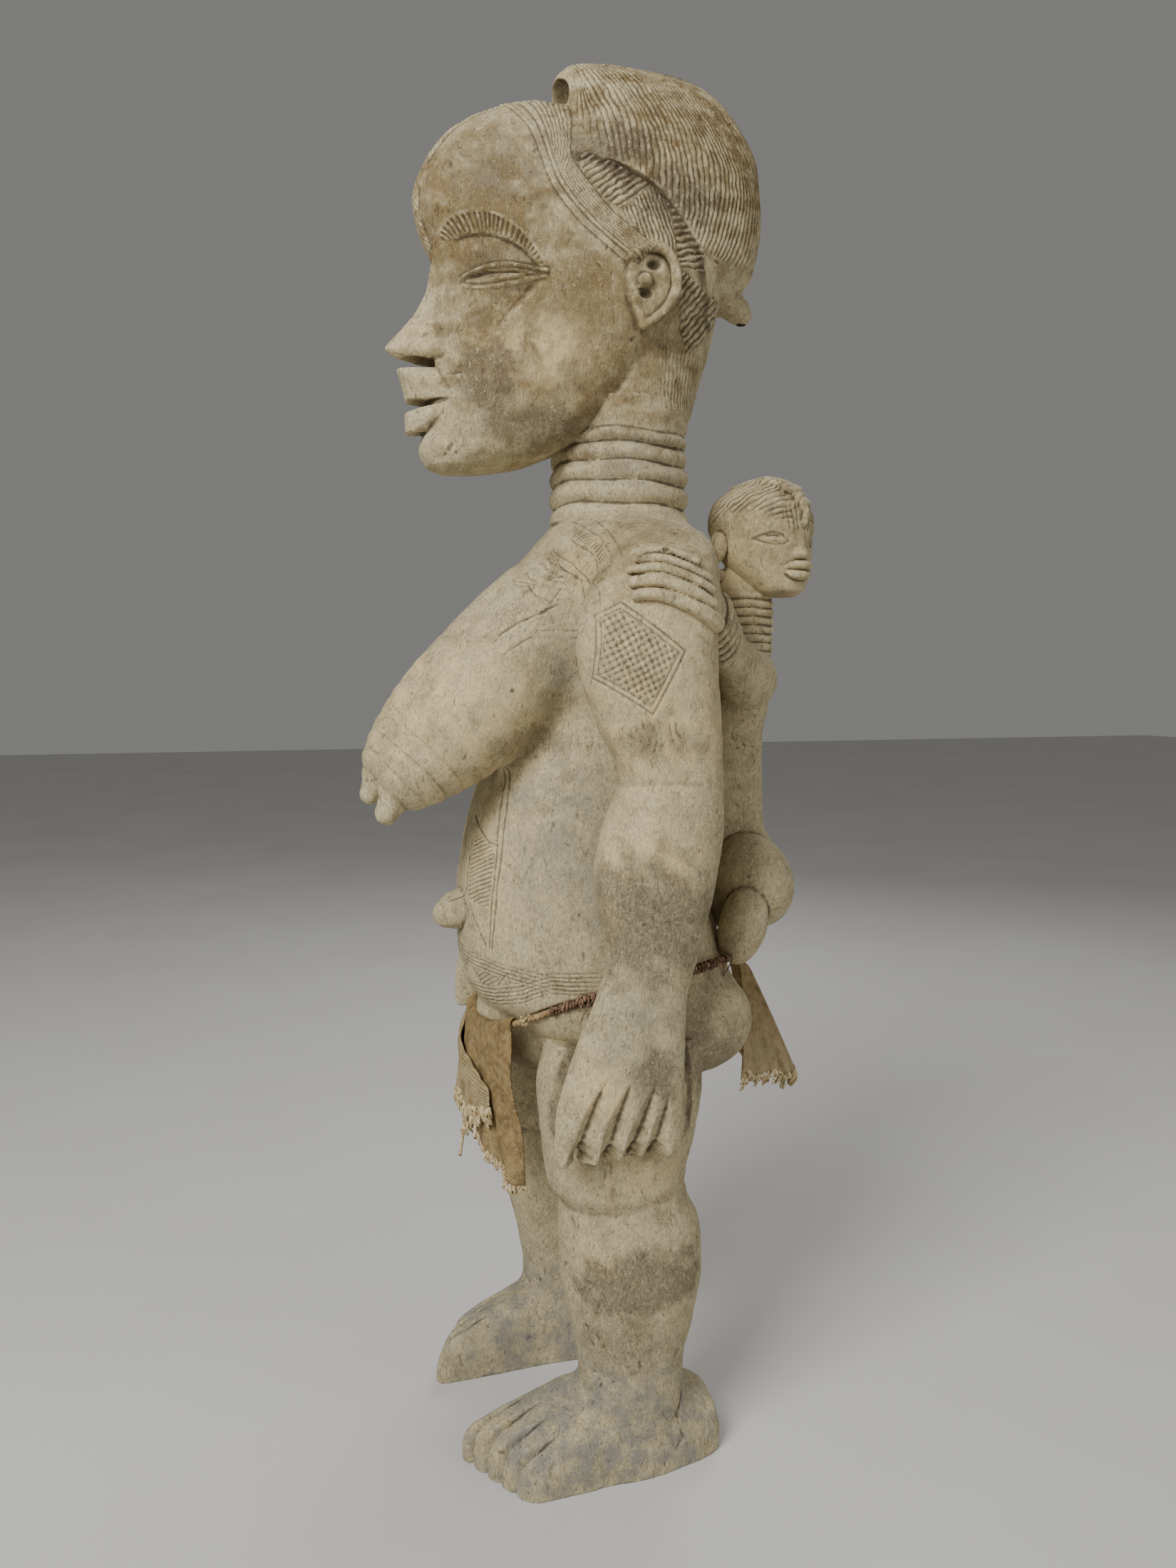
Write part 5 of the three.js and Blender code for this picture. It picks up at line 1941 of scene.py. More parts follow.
@dataclass(frozen=True)
class ChildHead(CarvedPiece):
    """The child's head, carved facing forwards and then turned to look out past her left arm."""

    name: str = "child_head"
    step: float = 0.9
    triangles: int = 50_000
    low: Row = (-46, -62, -52)
    high: Row = (46, 52, 54)

    def shape(self, block: Block) -> None:
        """Join skull, nose, lips, locks, ears and jaw."""
        block.join(Loft(CHILD_SKULL, 2.1, 2)).join(Loft(CHILD_NOSE, 1.7, 1), 2)
        for rows in CHILD_LIPS:
            block.join(Limb([(-r[0], *r[1:]) for r in rows[:0:-1]] + rows, (0, 0, 1), 2.6, 3), 0.8)
        block.join(Limb([(0, -33, 38, 8, 3), (0, -10, 46, 10, 4), (0, 20, 43, 10, 4)], fullness=2.8), 1.5)
        block.join(Limb([(2, -40, 14, 3.2, 3), (4, -41.5, 24, 4, 3), (1, -36, 33, 5, 4)]), 1)
        block.join_both(Lump((36, 8, -2), (5, 8, 11.5)), 1.2).join_both(Lump((28, 12, -22), (5, 4, 5)), 1)

    def cuts(self) -> list[Cut]:
        """See CarvedPiece."""
        return [
            (self._features, (-50, -66, -56), (50, 56, 58)),
        ]

    def place(self, points: Array) -> Array:
        """Turn the head towards her left and set it on its neck.

        Args:
            points: the points as carved.

        Returns:
            The points on the figure.
        """
        angle = math.radians(111)
        c, s = math.cos(angle), math.sin(angle)
        turn = np.array([[c, -s, 0], [s, c, 0], [0, 0, 1]])
        return (points * 1.03) @ turn.T + (5, 138, 663.5)

    def _features(self, tool: Chisel) -> None:
        """Almond eyes, forehead locks and soft strands.

        Args:
            tool: cuts them.
        """
        x, y, z = tool.points.T
        a = np.abs(x)
        ahead = soft_step(0.1, 0.35, -tool.normals[:, 1])
        near = tool.front([*CHILD_EYE, CHILD_EYE[0]])
        tool.groove(near, 1.4, 1.1, ahead)
        tool.lift -= 1.1 * inside(a, z, CHILD_EYE, 2) * ahead
        tool.ridge(tool.front([(14, 1), (20, 2), (27, 2)]), 3, 0.9, ahead)
        tool.groove(tool.front([(18, 3.4), (21, 4.0), (25, 3.6)]), 1.1, 0.9, ahead)
        tool.ridge(tool.front([(10, 10), (18, 13), (28, 12), (34, 7)]), 5, 0.6, ahead)
        for lock in (4, 8, 12):
            tool.groove(tool.front([(lock, 27), (lock + 1.5, 20), (lock - 1, 9)]), 1.0, 0.7, ahead)
        hair = soft_step(21, 24, z + 0.5 * np.maximum(-y - 24, 0) + 0.42 * np.maximum(y, 0))
        wobble = tool.noise(13, 18)
        tool.lift += 0.4 * hair
        tool.hatch((0.75 * z + 0.66 * y) / 4.6 + 0.2 * wobble, 0.85, hair * soft_step(7, 9, a))
        tool.hatch((y + 0.3 * z) / 5.2 + 0.15 * wobble, 0.85, hair * (1 - soft_step(7, 9, a)))
        tool.hatch(y / 7 + 0.2 * wobble, 0.6, (a > 36) * (1 - soft_step(8, 10, np.hypot(y - 8, z + 2))))
        tool.pits([((30, -24, 12), 3.2, 0.6), ((4, -44, -8), 2, 0.7), ((20, -33, -12), 4, 0.5)])


# Finishes


def linear(hex_colour: str) -> tuple[float, float, float, float]:
    """Turn a written sRGB colour to what the renderer works with.

    Args:
        hex_colour: the colour as it is written.

    Returns:
        Its linear values and full opacity.
    """
    parts = [int(hex_colour[i : i + 2], 16) / 255 for i in (1, 3, 5)]
    r, g, b = (v / 12.92 if v <= 0.04045 else ((v + 0.055) / 1.055) ** 2.4 for v in parts)
    return (r, g, b, 1.0)


@dataclass
class Nodes:
    """Builds the node tree of one finish."""

    material: Finish

    def __post_init__(self) -> None:
        """Empty the tree."""
        self.material.use_nodes = True
        self.tree = self.material.node_tree
        self.tree.nodes.clear()

    def add(self, kind: str, inputs: Sequence[object] | dict[int | str, object] = (),
            output: int | str = 0, **settings: object) -> Socket | None:
        """Add a node with its settings and links.

        Args:
            kind: Blender's name for the node type, after its ShaderNode.
            inputs: numbers, colours or other nodes' outputs, in the sockets' order or by socket.
            output: the output that is wanted.
            settings: the node's own properties.

        Returns:
            That output, if the node has any.
        """
        node = self.tree.nodes.new("ShaderNode" + kind)
        for name, value in settings.items():
            setattr(node, name, value)
        named = inputs if isinstance(inputs, dict) else dict(enumerate(inputs))
        for name, value in named.items():
            if isinstance(value, Socket):
                self.tree.links.new(value, node.inputs[name])
            else:
                node.inputs[name].default_value = value
        return node.outputs[output] if node.outputs else None

    def grain(self, size: float, detail: float = 5.0, rough: float = 0.55, swirl: float = 0.0,
              stretch: tuple[float, float, float] = (1, 1, 1)) -> Socket:
        """Noise that is fixed to the piece.

        Args:
            size: its waves' length in millimetres.
            detail: how many finer layers it has.
            rough: how strong those are.
            swirl: how far it is bent.
            stretch: below 1 it is drawn out along that axis.

        Returns:
            The noise.
        """
        place = self.add("Mapping", {0: self.add("TexCoord", output="Object"), 3: stretch})
        return self.add("TexNoise", {"Vector": place, "Scale": 1 / (size * MM), "Detail": detail,
                                     "Roughness": rough, "Distortion": swirl}, "Fac")

    def tones(self, light: str, dark: str, amount: Socket, low: float, high: float) -> Socket:
        """Mix two colours in patches.

        Args:
            light: the colour where the amount is low.
            dark: the colour where it is high.
            amount: noise or another value.
            low: up to this value the colour is the light one.
            high: from this value on it is the dark one.

        Returns:
            The mixed colour.
        """
        mixed = {0: self.add("MapRange", [amount, low, high]), 6: linear(light), 7: linear(dark)}
        return self.add("Mix", mixed, 2, data_type="RGBA")

    def veil(self, colour: Socket, amount: Socket, share: float, over: str) -> Socket:
        """Lay a colour over another.

        Args:
            colour: what is covered.
            amount: how much of it is covered, from 0 to 1.
            share: how much shows at most.
            over: the colour that covers it.

        Returns:
            The mixed colour.
        """
        cover = self.add("Math", [amount, share], operation="MULTIPLY")
        return self.add("Mix", {0: cover, 6: colour, 7: linear(over)}, 2, data_type="RGBA")

    def close(self, surface: dict[str, object], bump: Socket | None = None, depth: float = 0.4) -> Finish:
        """Finish the tree with a surface.

        Args:
            surface: what goes into the shader's sockets.
            bump: how high the surface stands.
            depth: how high its bumps are in millimetres.

        Returns:
            The material.
        """
        if bump is not None:
            lean = self.add("Bump", {"Strength": 1.0, "Distance": depth * MM, "Height": bump})
            surface = {**surface, "Normal": lean}
        self.add("OutputMaterial", [self.add("BsdfPrincipled", surface)])
        return self.material


@dataclass(frozen=True)
class WeatheredWood:
    """Old hardwood, hand carved, handled and dusty.

    To the eye it is matt and chalky: a grey-tan skin, ochre where it is rubbed, dark where the
    blade left cuts, with lifted fibres and flakes on worn edges. Its hollows carry painted shade
    and its convex edges a painted highlight broken into chips. Each noise has the size of its
    mark: dust crumbs 2 mm, flakes 3 mm, lifted fibres 4 mm, smudges 16 mm and clouds 29 mm. Specks
    and grime are finer than 1 mm on the carving and are drawn 1.3 and 1.8 mm apart to show.
    """

    dust: str = "#c9bb93"
    tan: str = "#87724a"
    ochre: str = "#e4cb99"
    slate: str = "#8f8b7f"
    # Dark brown of scuffs, also laid as painted shade in broad hollows
    scuff_and_shade: str = "#5f5242"
    # Dark brown of grime and of the painted shade that is laid with it
    brown: str = "#3d3122"
    # Pale of dust and flakes, also laid as a painted highlight on convex edges
    pale: str = "#e6d8b2"

    def make(self) -> Finish:
        """Build the finish from the ground colour to the grime and painted shade in the cuts and hollows.

        Returns:
            The material.
        """
        n = Nodes(bpy.data.materials.new("weathered hardwood"))
        names = ("warm", "rub", "slate", "worn", "hollow", "groove", "dirt")
        kept = {name: n.add("Attribute", output="Fac", attribute_name=name) for name in names}
        crumb = n.grain(2.083, 6, 0.75, 0.8, (1, 1, 0.7))
        smudge = n.grain(16.13, 9, 0.8, 0.4)

        # A skin pale with dust that turns tan in broad clouds, with crumbs and smudges all over
        cloud = n.add("MapRange", [n.grain(29.41, 6, 0.62), 0.35, 0.65, -0.14, 0.14])
        warm = n.add("Math", [kept["warm"], cloud], operation="ADD")
        colour = n.tones(self.dust, self.tan, warm, 0.15, 1.0)
        colour = n.veil(colour, n.add("MapRange", [crumb, 0.44, 0.6]), 0.42, self.scuff_and_shade)
        colour = n.veil(colour, n.add("MapRange", [smudge, 0.5, 0.62]), 0.36, self.scuff_and_shade)
        colour = n.veil(colour, n.add("MapRange", [smudge, 0.47, 0.38]), 0.24, self.pale)

        # Ochre where it is rubbed and grey where it is bleached, both in broken patches
        for name, size, detail, rough, low, share, over in (
            ("rub", 14.29, 6, 0.7, 0.34, 0.85, self.ochre),
            ("slate", 18.18, 7, 0.75, 0.4, 0.7, self.slate),
        ):
            patch = n.add("MapRange", [n.grain(size, detail, rough), low, 0.56])
            amount = n.add("Math", [kept[name], patch], operation="MULTIPLY")
            colour = n.veil(colour, amount, share, over)

        # Bare lifted fibres and pale flakes on worn edges
        shred = n.add("MapRange", [n.grain(4.348, 9, 0.84, 1.8, (1, 1, 0.6)), 0.36, 0.58, 0.25, 1.0])
        edge = n.add("MapRange", [kept["worn"], 0.05, 0.6])
        colour = n.veil(colour, n.add("Math", [edge, shred], operation="MULTIPLY"), 0.8, self.scuff_and_shade)
        flake = n.add("MapRange", [n.grain(3.03, 6, 0.72, 2.2, (1, 1, 0.5)), 0.54, 0.63])
        edge = n.add("MapRange", [kept["worn"], 0, 0.7, 0.35, 1.0])
        split = n.add("Math", [edge, flake], operation="MULTIPLY")
        colour = n.veil(colour, split, 0.7, self.pale)

        # Scratches along the grain, pale specks and grains of grime all over, and painted shade in the broad
        # hollows
        scratch = n.add("MapRange", [n.grain(4.762, 5, 0.66, 2.5, (1, 0.8, 0.3)), 0.61, 0.68])
        speck = n.add("MapRange", [n.grain(1.316, 3), 0.61, 0.7])
        grime = n.add("MapRange", [n.grain(1.786, 4, 0.6, 0.5), 0.63, 0.71])
        # Broad hollows turn towards the dark brown of scuffs: painted shade
        hollow = n.add("MapRange", [kept["hollow"], 0.1, 0.9])
        for amount, share, over in (
            (scratch, 0.3, self.scuff_and_shade),
            (speck, 0.35, self.pale),
            (grime, 0.5, self.brown),
            (hollow, 0.45, self.scuff_and_shade),
        ):
            colour = n.veil(colour, amount, share, over)

        # Grime in the cuts together with the painted shade and painted shadows laid with it, and a painted
        # highlight broken into pale chips on the ridges between them
        patchiness = n.add("MapRange", [n.grain(11.11, 4), 0.3, 0.65, 0.4, 0.95])
        dirt = n.add("Math", [kept["dirt"], patchiness], operation="MULTIPLY")
        deep = n.add("Math", [n.add("MapRange", [kept["groove"], 0.1, 0.8]), 0.65], operation="MULTIPLY")
        dark = n.add("Math", [dirt, deep], operation="MAXIMUM")
        colour = n.veil(colour, dark, 1.0, self.brown)
        # Painted highlight: convex edges turn pale, broken into chips that also stand for wear
        ridge = n.add("MapRange", [kept["groove"], -0.2, -0.9])
        chip_and_highlight = n.add("MapRange", [n.grain(5.556, 3), 0.46, 0.62])
        colour = n.veil(colour, n.add("Math", [ridge, chip_and_highlight], operation="MULTIPLY"), 0.45, self.pale)

        lifted = n.add("Math", [split, scratch], operation="SUBTRACT")
        rough = n.add("Math", [crumb, 1.6], operation="MULTIPLY")
        height = n.add("Math", [rough, lifted], operation="ADD")
        matt = n.add("MapRange", [crumb, 0.3, 0.7, 0.74, 0.92])
        surface = {"Base Color": colour, "Roughness": matt, "Specular IOR Level": 0.22}
        return n.close(surface, height, 0.6)


@dataclass(frozen=True)
class Fibre:
    """Plain plant fibre, spun and knotted by hand: dry and matt, with colour that comes in patches.

    The patches have a length in millimetres, and single fibres 0.7 mm apart make it fuzzy. Real
    ones are finer than that and wouldn't show.
    """

    name: str
    light: str
    dark: str
    patch: float = 6.25

    def make(self) -> Finish:
        """Build the finish.

        Returns:
            The material.
        """
        n = Nodes(bpy.data.materials.new(self.name))
        colour = n.tones(self.light, self.dark, n.grain(self.patch, 4), 0.38, 0.66)
        surface = {"Base Color": colour, "Roughness": 0.9, "Specular IOR Level": 0.2}
        return n.close(surface, n.grain(0.6667, 3), 0.2)


# Twisted plant fibre, worn brown where it rubs
PLANT_CORD = Fibre("worn plant cord", "#b39a70", "#6e5236")
# Spun thread, dyed a dark red-brown and faded in patches
DARK_THREAD = Fibre("dark red-brown thread", "#93755c", "#3a251c", 2.381)
# Undyed thread, a dusty cream with tan patches
CREAM_THREAD = Fibre("cream thread", "#d3c49c", "#94794f", 3.846)


# Cord and cloths


def sweep(path: Array, radius: Array | float, sides: int, closed: bool = False) -> tuple[Array, Array]:
    """A round tube along a path.

    Args:
        path: points in millimetres.
        radius: its radius, one number or one for each point.
        sides: how many sides it has.
        closed: joins the last point to the first.

    Returns:
        Points and four-sided faces.
    """
    count = len(path)
    if closed:
        along = np.roll(path, -1, axis=0) - np.roll(path, 1, axis=0)
    else:
        along = np.gradient(path, axis=0)
    along /= np.maximum(np.linalg.norm(along, axis=1, keepdims=True), 1e-9)
    side = np.cross(along, (0.31, 0.17, 0.93))
    side /= np.maximum(np.linalg.norm(side, axis=1, keepdims=True), 1e-9)
    other = np.cross(along, side)
    turn = 2 * np.pi * np.arange(sides) / sides
    size = np.broadcast_to(radius, count)[:, None, None]
    ring = side[:, None] * np.cos(turn)[None, :, None] + other[:, None] * np.sin(turn)[None, :, None]
    points = (path[:, None] + ring * size).reshape(-1, 3)
    rows = np.arange(count if closed else count - 1)[:, None] * sides
    ahead = (rows + sides) % (count * sides)
    j = np.arange(sides)[None, :]
    k = (j + 1) % sides
    faces = np.stack([rows + j, rows + k, ahead + k, ahead + j], axis=-1).reshape(-1, 4)
    return points, faces


@dataclass
class Bundle:
    """Gathers many small skins into one."""

    points: list[Array] = field(default_factory=list)
    faces: list[Array] = field(default_factory=list)
    count: int = 0

    def add(self, points: Array, faces: Array) -> None:
        """Add one skin.

        Args:
            points: its points.
            faces: its faces.
        """
        self.points.append(points)
        self.faces.append(faces + self.count)
        self.count += len(points)

    def make(self, name: str, finish: Finish, node: str, slot: Slot) -> Piece:
        """Make the bundle a piece that stands for a node.

        Args:
            name: the piece's name.
            finish: its finish.
            node: the node.
            slot: not used.

        Returns:
            The piece.
        """
        piece = put(name, np.concatenate(self.points), np.concatenate(self.faces), finish)
        stand_for(piece, node)
        return piece


def tuft(bundle: Bundle, middle: Array, spread: float, count: int) -> None:
    """Short curled ends of thread that stick out of a knot.

    Args:
        bundle: takes the threads.
        middle: the knot.
        spread: how far the ends reach.
        count: how many there are.
    """
    rng = np.random.default_rng(count)
    t = np.linspace(0, 1, 9)[:, None]
    for _ in range(count):
        way = rng.normal(size=3) + (0, 0, -0.3)
        way *= spread * rng.uniform(0.6, 1.0) / np.linalg.norm(way)
        bend = rng.normal(size=3) * 1.6
        bundle.add(*sweep(middle + way * t + bend * np.sin(2.6 * t), 0.85 - 0.3 * t[:, 0], 5))


@dataclass(frozen=True)
class HipCord:
    """Three-strand cord round the hips, whipped with dark thread where its ends are joined.

    The whipped stretches, the loose threads (angle, drop) and the knots (angle, spread, ends)
    lie at angles along its route, and the other sizes are radii.
    """

    seat: float = 2.0
    turns: int = 46
    lay: float = 1.1
    strand: float = 1.35
    coil: float = 2.5
    whipping: float = 1.0
    knots: tuple[tuple[float, float, int], ...] = ((-0.86, 4.5, 16), (1.27, 3.5, 12), (1.42, 4.5, 14))
    whipped: tuple[tuple[float, float], ...] = ((-0.64, -0.26), (0.10, 1.22), (1.32, 1.90))
    loose: tuple[tuple[float, float], ...] = ((-0.34, 20), (-0.31, 14), (-0.40, 9), (-0.28, 17), (-0.30, 11),
                                              (0.62, 12), (0.84, 15), (1.60, 10), (1.90, 16))

    def build(self, plain: Finish, thread: Finish, ends: Finish) -> list[Piece]:
        """Lay the cord, its whipping, the loose ends of thread and the frayed knots.

        Args:
            plain: the finish of the cord.
            thread: that of the whipping.
            ends: that of the knots.

        Returns:
            The three pieces.
        """
        strands = Bundle()
        angle = np.linspace(0, FULL_TURN, 480, endpoint=False)
        for k in range(3):
            twist = self.turns * angle + 2 * math.pi * k / 3
            path = cord_spot(angle, self.seat + self.lay * np.cos(twist))
            path[:, 2] += self.lay * np.sin(twist)
            strands.add(*sweep(path, self.strand + 0.12 * np.sin(7 * angle + k), 8, True))
        rope = strands.make("hip_cord_strands", plain, "hip_cord", Slot.CORD)
        coils = Bundle()
        for start, stop in self.whipped:
            # A turn for each 2.5 mm of cord, which lies about 96 mm from the middle of the hips
            turns = int(96 * (stop - start) / 2.5)
            at = np.linspace(start, stop, turns * 14)
            wind = FULL_TURN * turns * (at - start) / (stop - start)
            wander = smooth_noise(at[:, None] * (100.0, 0, 0), 5, 31)
            bulge = self.coil + 0.35 * wander
            path = cord_spot(at + 0.006 * wander, self.seat + 0.4 + bulge * np.cos(wind))
            path[:, 2] += bulge * np.sin(wind)
            coils.add(*sweep(path, self.whipping + 0.18 * np.sin(wind / 3.7), 6))
        rng = np.random.default_rng(11)
        for at, drop in self.loose:
            t = np.linspace(0, 1, 14)
            path = cord_spot(np.full(14, at), self.seat + 3.5 + 3 * np.sin(2.2 * t))
            path[:, 1] += rng.uniform(-6, 6) * t + 1.5 * np.sin(5 * t)
            path[:, 2] += 3 - drop * t**1.3
            coils.add(*sweep(path, 0.7 - 0.35 * t, 5))
        whip = coils.make("hip_cord_whipping", thread, "hip_cord", Slot.CORD)
        knots = Bundle()
        for at, spread, count in self.knots:
            tuft(knots, cord_spot(np.array([at]), self.seat + 2.6)[0], spread, count)
        return [rope, whip, knots.make("hip_cord_knots", ends, "hip_cord", Slot.CORD)]


@dataclass
class Sheet:
    """A woven panel as a thin closed skin over a grid of points."""

    name: str
    middle: Array
    faded: Array
    thickness: float = 1.4

    def lengths(self) -> tuple[Array, Array]:
        """Measure the panel along its rows and down its columns.

        Returns:
            For each point, its place along the row from the middle and down the column.
        """
        run = np.linalg.norm(np.diff(self.middle, axis=1), axis=2)
        down = np.linalg.norm(np.diff(self.middle, axis=0), axis=2)
        across = np.pad(np.cumsum(run, axis=1), ((0, 0), (1, 0)))
        drop = np.pad(np.cumsum(down, axis=0), ((1, 0), (0, 0)))
        return across - across[:, across.shape[1] // 2, None], drop

    def area(self) -> float:
        """Measure the flat area.

        Returns:
            The area in square metres.
        """
        m = self.middle
        across = np.cross(m[1:, 1:] - m[:-1, :-1], m[1:, :-1] - m[:-1, 1:])
        return float(np.linalg.norm(across, axis=2).sum()) / 2 * MM * MM

    def cut(self) -> tuple[float, float]:
        """Width and length in metres of the flat rectangle that the panel was cut from."""
        across, down = self.lengths()
        return float(np.ptp(across, axis=1).max()) * MM, float(down[-1].max()) * MM

    def build(self, finish: Finish, node: str) -> Piece:
        """Skin the panel and keep its weave directions for the finish.

        Args:
            finish: its weave.
            node: the node that it stands for.

        Returns:
            The piece.
        """
        m = self.middle
        rows, columns = m.shape[:2]
        out = np.cross(np.gradient(m, axis=1), np.gradient(m, axis=0))
        out /= np.maximum(np.linalg.norm(out, axis=2, keepdims=True), 1e-9)
        front, back = m + out * self.thickness / 2, m - out * self.thickness / 2
        points = np.concatenate([front.reshape(-1, 3), back.reshape(-1, 3)])
        grid = np.arange(rows * columns).reshape(rows, columns)
        quads = [grid[:-1, :-1], grid[1:, :-1], grid[1:, 1:], grid[:-1, 1:]]
        quads = np.stack(quads, axis=-1).reshape(-1, 4)
        rim = np.concatenate([grid[0, :-1], grid[:-1, -1], grid[-1, :0:-1], grid[:0:-1, 0]])
        ahead = np.roll(rim, -1)
        size = rows * columns
        edge = np.stack([rim, ahead, ahead + size, rim + size], axis=-1)
        faces = np.concatenate([quads, quads[:, ::-1] + size, edge])
        piece = put(self.name, points, faces, finish)
        across, drop = self.lengths()
        write_values(piece, "across", np.tile(across.ravel(), 2))
        write_values(piece, "down", np.tile(drop.ravel(), 2))
        write_values(piece, "faded", np.tile(self.faded.ravel(), 2))
        stand_for(piece, node)
        return piece


def fringe(bundle: Bundle, roots: Array, outward: Array, drop: float, seed: int) -> None:
    """Hang curly looped threads from a hem.

    Args:
        bundle: takes the threads.
        roots: points of the hem.
        outward: the way out from the cloth at each of them.
        drop: how far a loop hangs.
        seed: fixes the random draws.
    """
    rng = np.random.default_rng(seed)
    t = np.linspace(0, 1, 13)
    for root, out in zip(roots, outward):
        side = np.cross(out, (0, 0, 1.0))
        side /= np.linalg.norm(side)
        length = drop * rng.uniform(0.6, 1.25)
        wide = rng.uniform(0.8, 2.6) * rng.choice((-1, 1))
        curl = rng.uniform(0.6, 2.4)
        path = root + side * (wide * np.sin(2 * np.pi * t * curl / 1.6))[:, None]
        stand = rng.uniform(-1.2, 3.2) * np.sin(np.pi * t) + curl * 0.8 * np.sin(3 * np.pi * t)
        path = path + out * stand[:, None]
        path[:, 2] -= length * np.sin(np.pi * t) - rng.uniform(-0.5, 0.5)
        bundle.add(*sweep(path, rng.uniform(0.6, 1.0), 5))


def outwards(points: Array) -> Array:
    """Level directions straight out from the cord's middle at some points."""
    way = (points - (0, CORD_MIDDLE, 0)) * (1, 1, 0)
    return way / np.linalg.norm(way, axis=-1, keepdims=True)


# The roll of cloth over the cord: its middle out from the cord's route, its radius and its turn
ROLL_MIDDLE, ROLL_RADIUS, ROLL_TURN = 2.2, 4.8, math.radians(215)


def hang(angle: Array, drop: Array, out: Array, v: Array, roll: float = 0.1) -> Array:
    """Points of a panel that is rolled over the cord and hangs from it.

    Args:
        angle: place along the cord, for every point.
        drop: how far below the cord the hem is there.
        out: how far out from the cord's middle line the cloth hangs.
        v: 0 at the tucked-in start and 1 at the hem.
        roll: share of v that lies round the cord.

    Returns:
        The points.
    """
    over = np.clip(v / roll, 0, 1)
    turn = ROLL_TURN * (1 - over)
    fall = np.clip((v - roll) / (1 - roll), 0, 1)
    off = ROLL_MIDDLE + ROLL_RADIUS
    free = off + (out - off) * soft_step(0, 0.25, fall)
    reach = np.where(v < roll, ROLL_MIDDLE + ROLL_RADIUS * np.cos(turn), free)
    spots = cord_spot(np.broadcast_to(angle, reach.shape), reach)
    spots[..., 2] += ROLL_RADIUS * np.sin(turn) * (v < roll) - drop * fall
    return spots


@dataclass(frozen=True)
class FrontCloth:
    """Front panel: rolled over the cord, a pleat turned over on her right, a slanting fringed hem.

    The fold is the share of the width that hangs flat, the hem is (share, drop), and each tail of
    loose thread starts at a share of the hem and goes its way with a curl.
    """

    rows: int = 64
    columns: int = 84
    fold: float = 0.62
    start: float = -1.02
    hem: tuple[Row, Row] = ((0, 0.08, 0.2, 0.31, 0.4, 0.62, 1), (118, 110, 92, 79, 71, 64, 60))
    tails: tuple[tuple[float, Row, float], ...] = (
        (0.78, (3, -1, -34), 12),
        (0.90, (6, 0, -15), 4),
        (0.84, (5, 1, -11), 3),
    )

    def build(self, weave: Finish, loops: Finish) -> list[Piece]:
        """Hang the panel and its fringe.

        Args:
            weave: the finish of the panel.
            loops: that of the fringe.

        Returns:
            The panel and its fringe.
        """
        v = np.linspace(0, 1, self.rows)[:, None]
        u = np.linspace(0, 1, self.columns)[None, :]
        turn = self.fold
        lap = 0.03 + 0.70 * soft_step(0.04, 0.8, v)
        run = np.where(u < turn, u / turn, 1 - lap * (u - turn) / (1 - turn))
        flap = soft_step(turn - 0.02, turn + 0.06, u)
        angle = self.start + (0.19 * v + 0.018 * np.sin(11 * v)) * (1 - run) - 0.93 * run
        drop = np.interp(u, *self.hem) + 0 * v
        drop = drop + 2.2 * np.sin(31 * u) * (u < turn)
        out = 8 + 4 * v * (1 - v) * run + 4.5 * flap * soft_step(0.1, 0.4, v) + 4 * flap * v * (1 - u)
        valley = (run - 0.62 + 0.42 * v) / 0.07
        out = out - 3.4 * np.exp(-valley**2) * (1 - flap) * soft_step(0.08, 0.4, v)
        out = out + 2.2 * np.exp(-(valley - 1.9) ** 2) * (1 - flap) * soft_step(0.1, 0.5, v)
        out = out + 2.4 * np.exp(-(((run - 0.17 - 0.05 * np.sin(5 * v)) / 0.05) ** 2)) * v * (1 - flap)
        ripple = 1.2 * np.sin(17 * run + 5 * v) * soft_step(0.1, 0.5, v)
        out = out + ripple + 0.8 * np.sin(40 * run - 9 * v) * v
        spots = hang(angle, drop, out, v + 0 * u)
        cloth = Sheet("front_cloth_panel", spots, np.clip(flap + 0.25 * soft_step(0.8, 1, v), 0, 1))
        panel = cloth.build(weave, "front_cloth")
        ends = Bundle()
        hem = spots[-1]
        away = outwards(hem)
        first = int(turn * self.columns)
        flap_hem, flap_away = hem[first:], away[first:]
        fringe(ends, hem[:first], away[:first], 6.5, 3)
        for k in range(3):
            fringe(ends, flap_hem + (0, 0, 1.5 * k), flap_away + 0.2 * k, 11 - 1.5 * k, 5 + k)
        tail = np.linspace(0, 1, 18)[:, None]
        for start, way, reach in self.tails:
            root = hem[int(self.columns * start)] + (0, 0, -2)
            path = root + tail * way + np.array((1.0, -0.5, 0)) * reach * tail**2.2
            path = path + 1.2 * np.sin(6 * tail) * (1, 0, 0)
            ends.add(*sweep(path, 1.7 - 0.5 * tail[:, 0], 7))
        tuft(ends, path[-1], 5, 7)
        edge = ends.make("front_cloth_fringe", loops, "front_cloth", Slot.CLOTH)
        return [panel, edge]


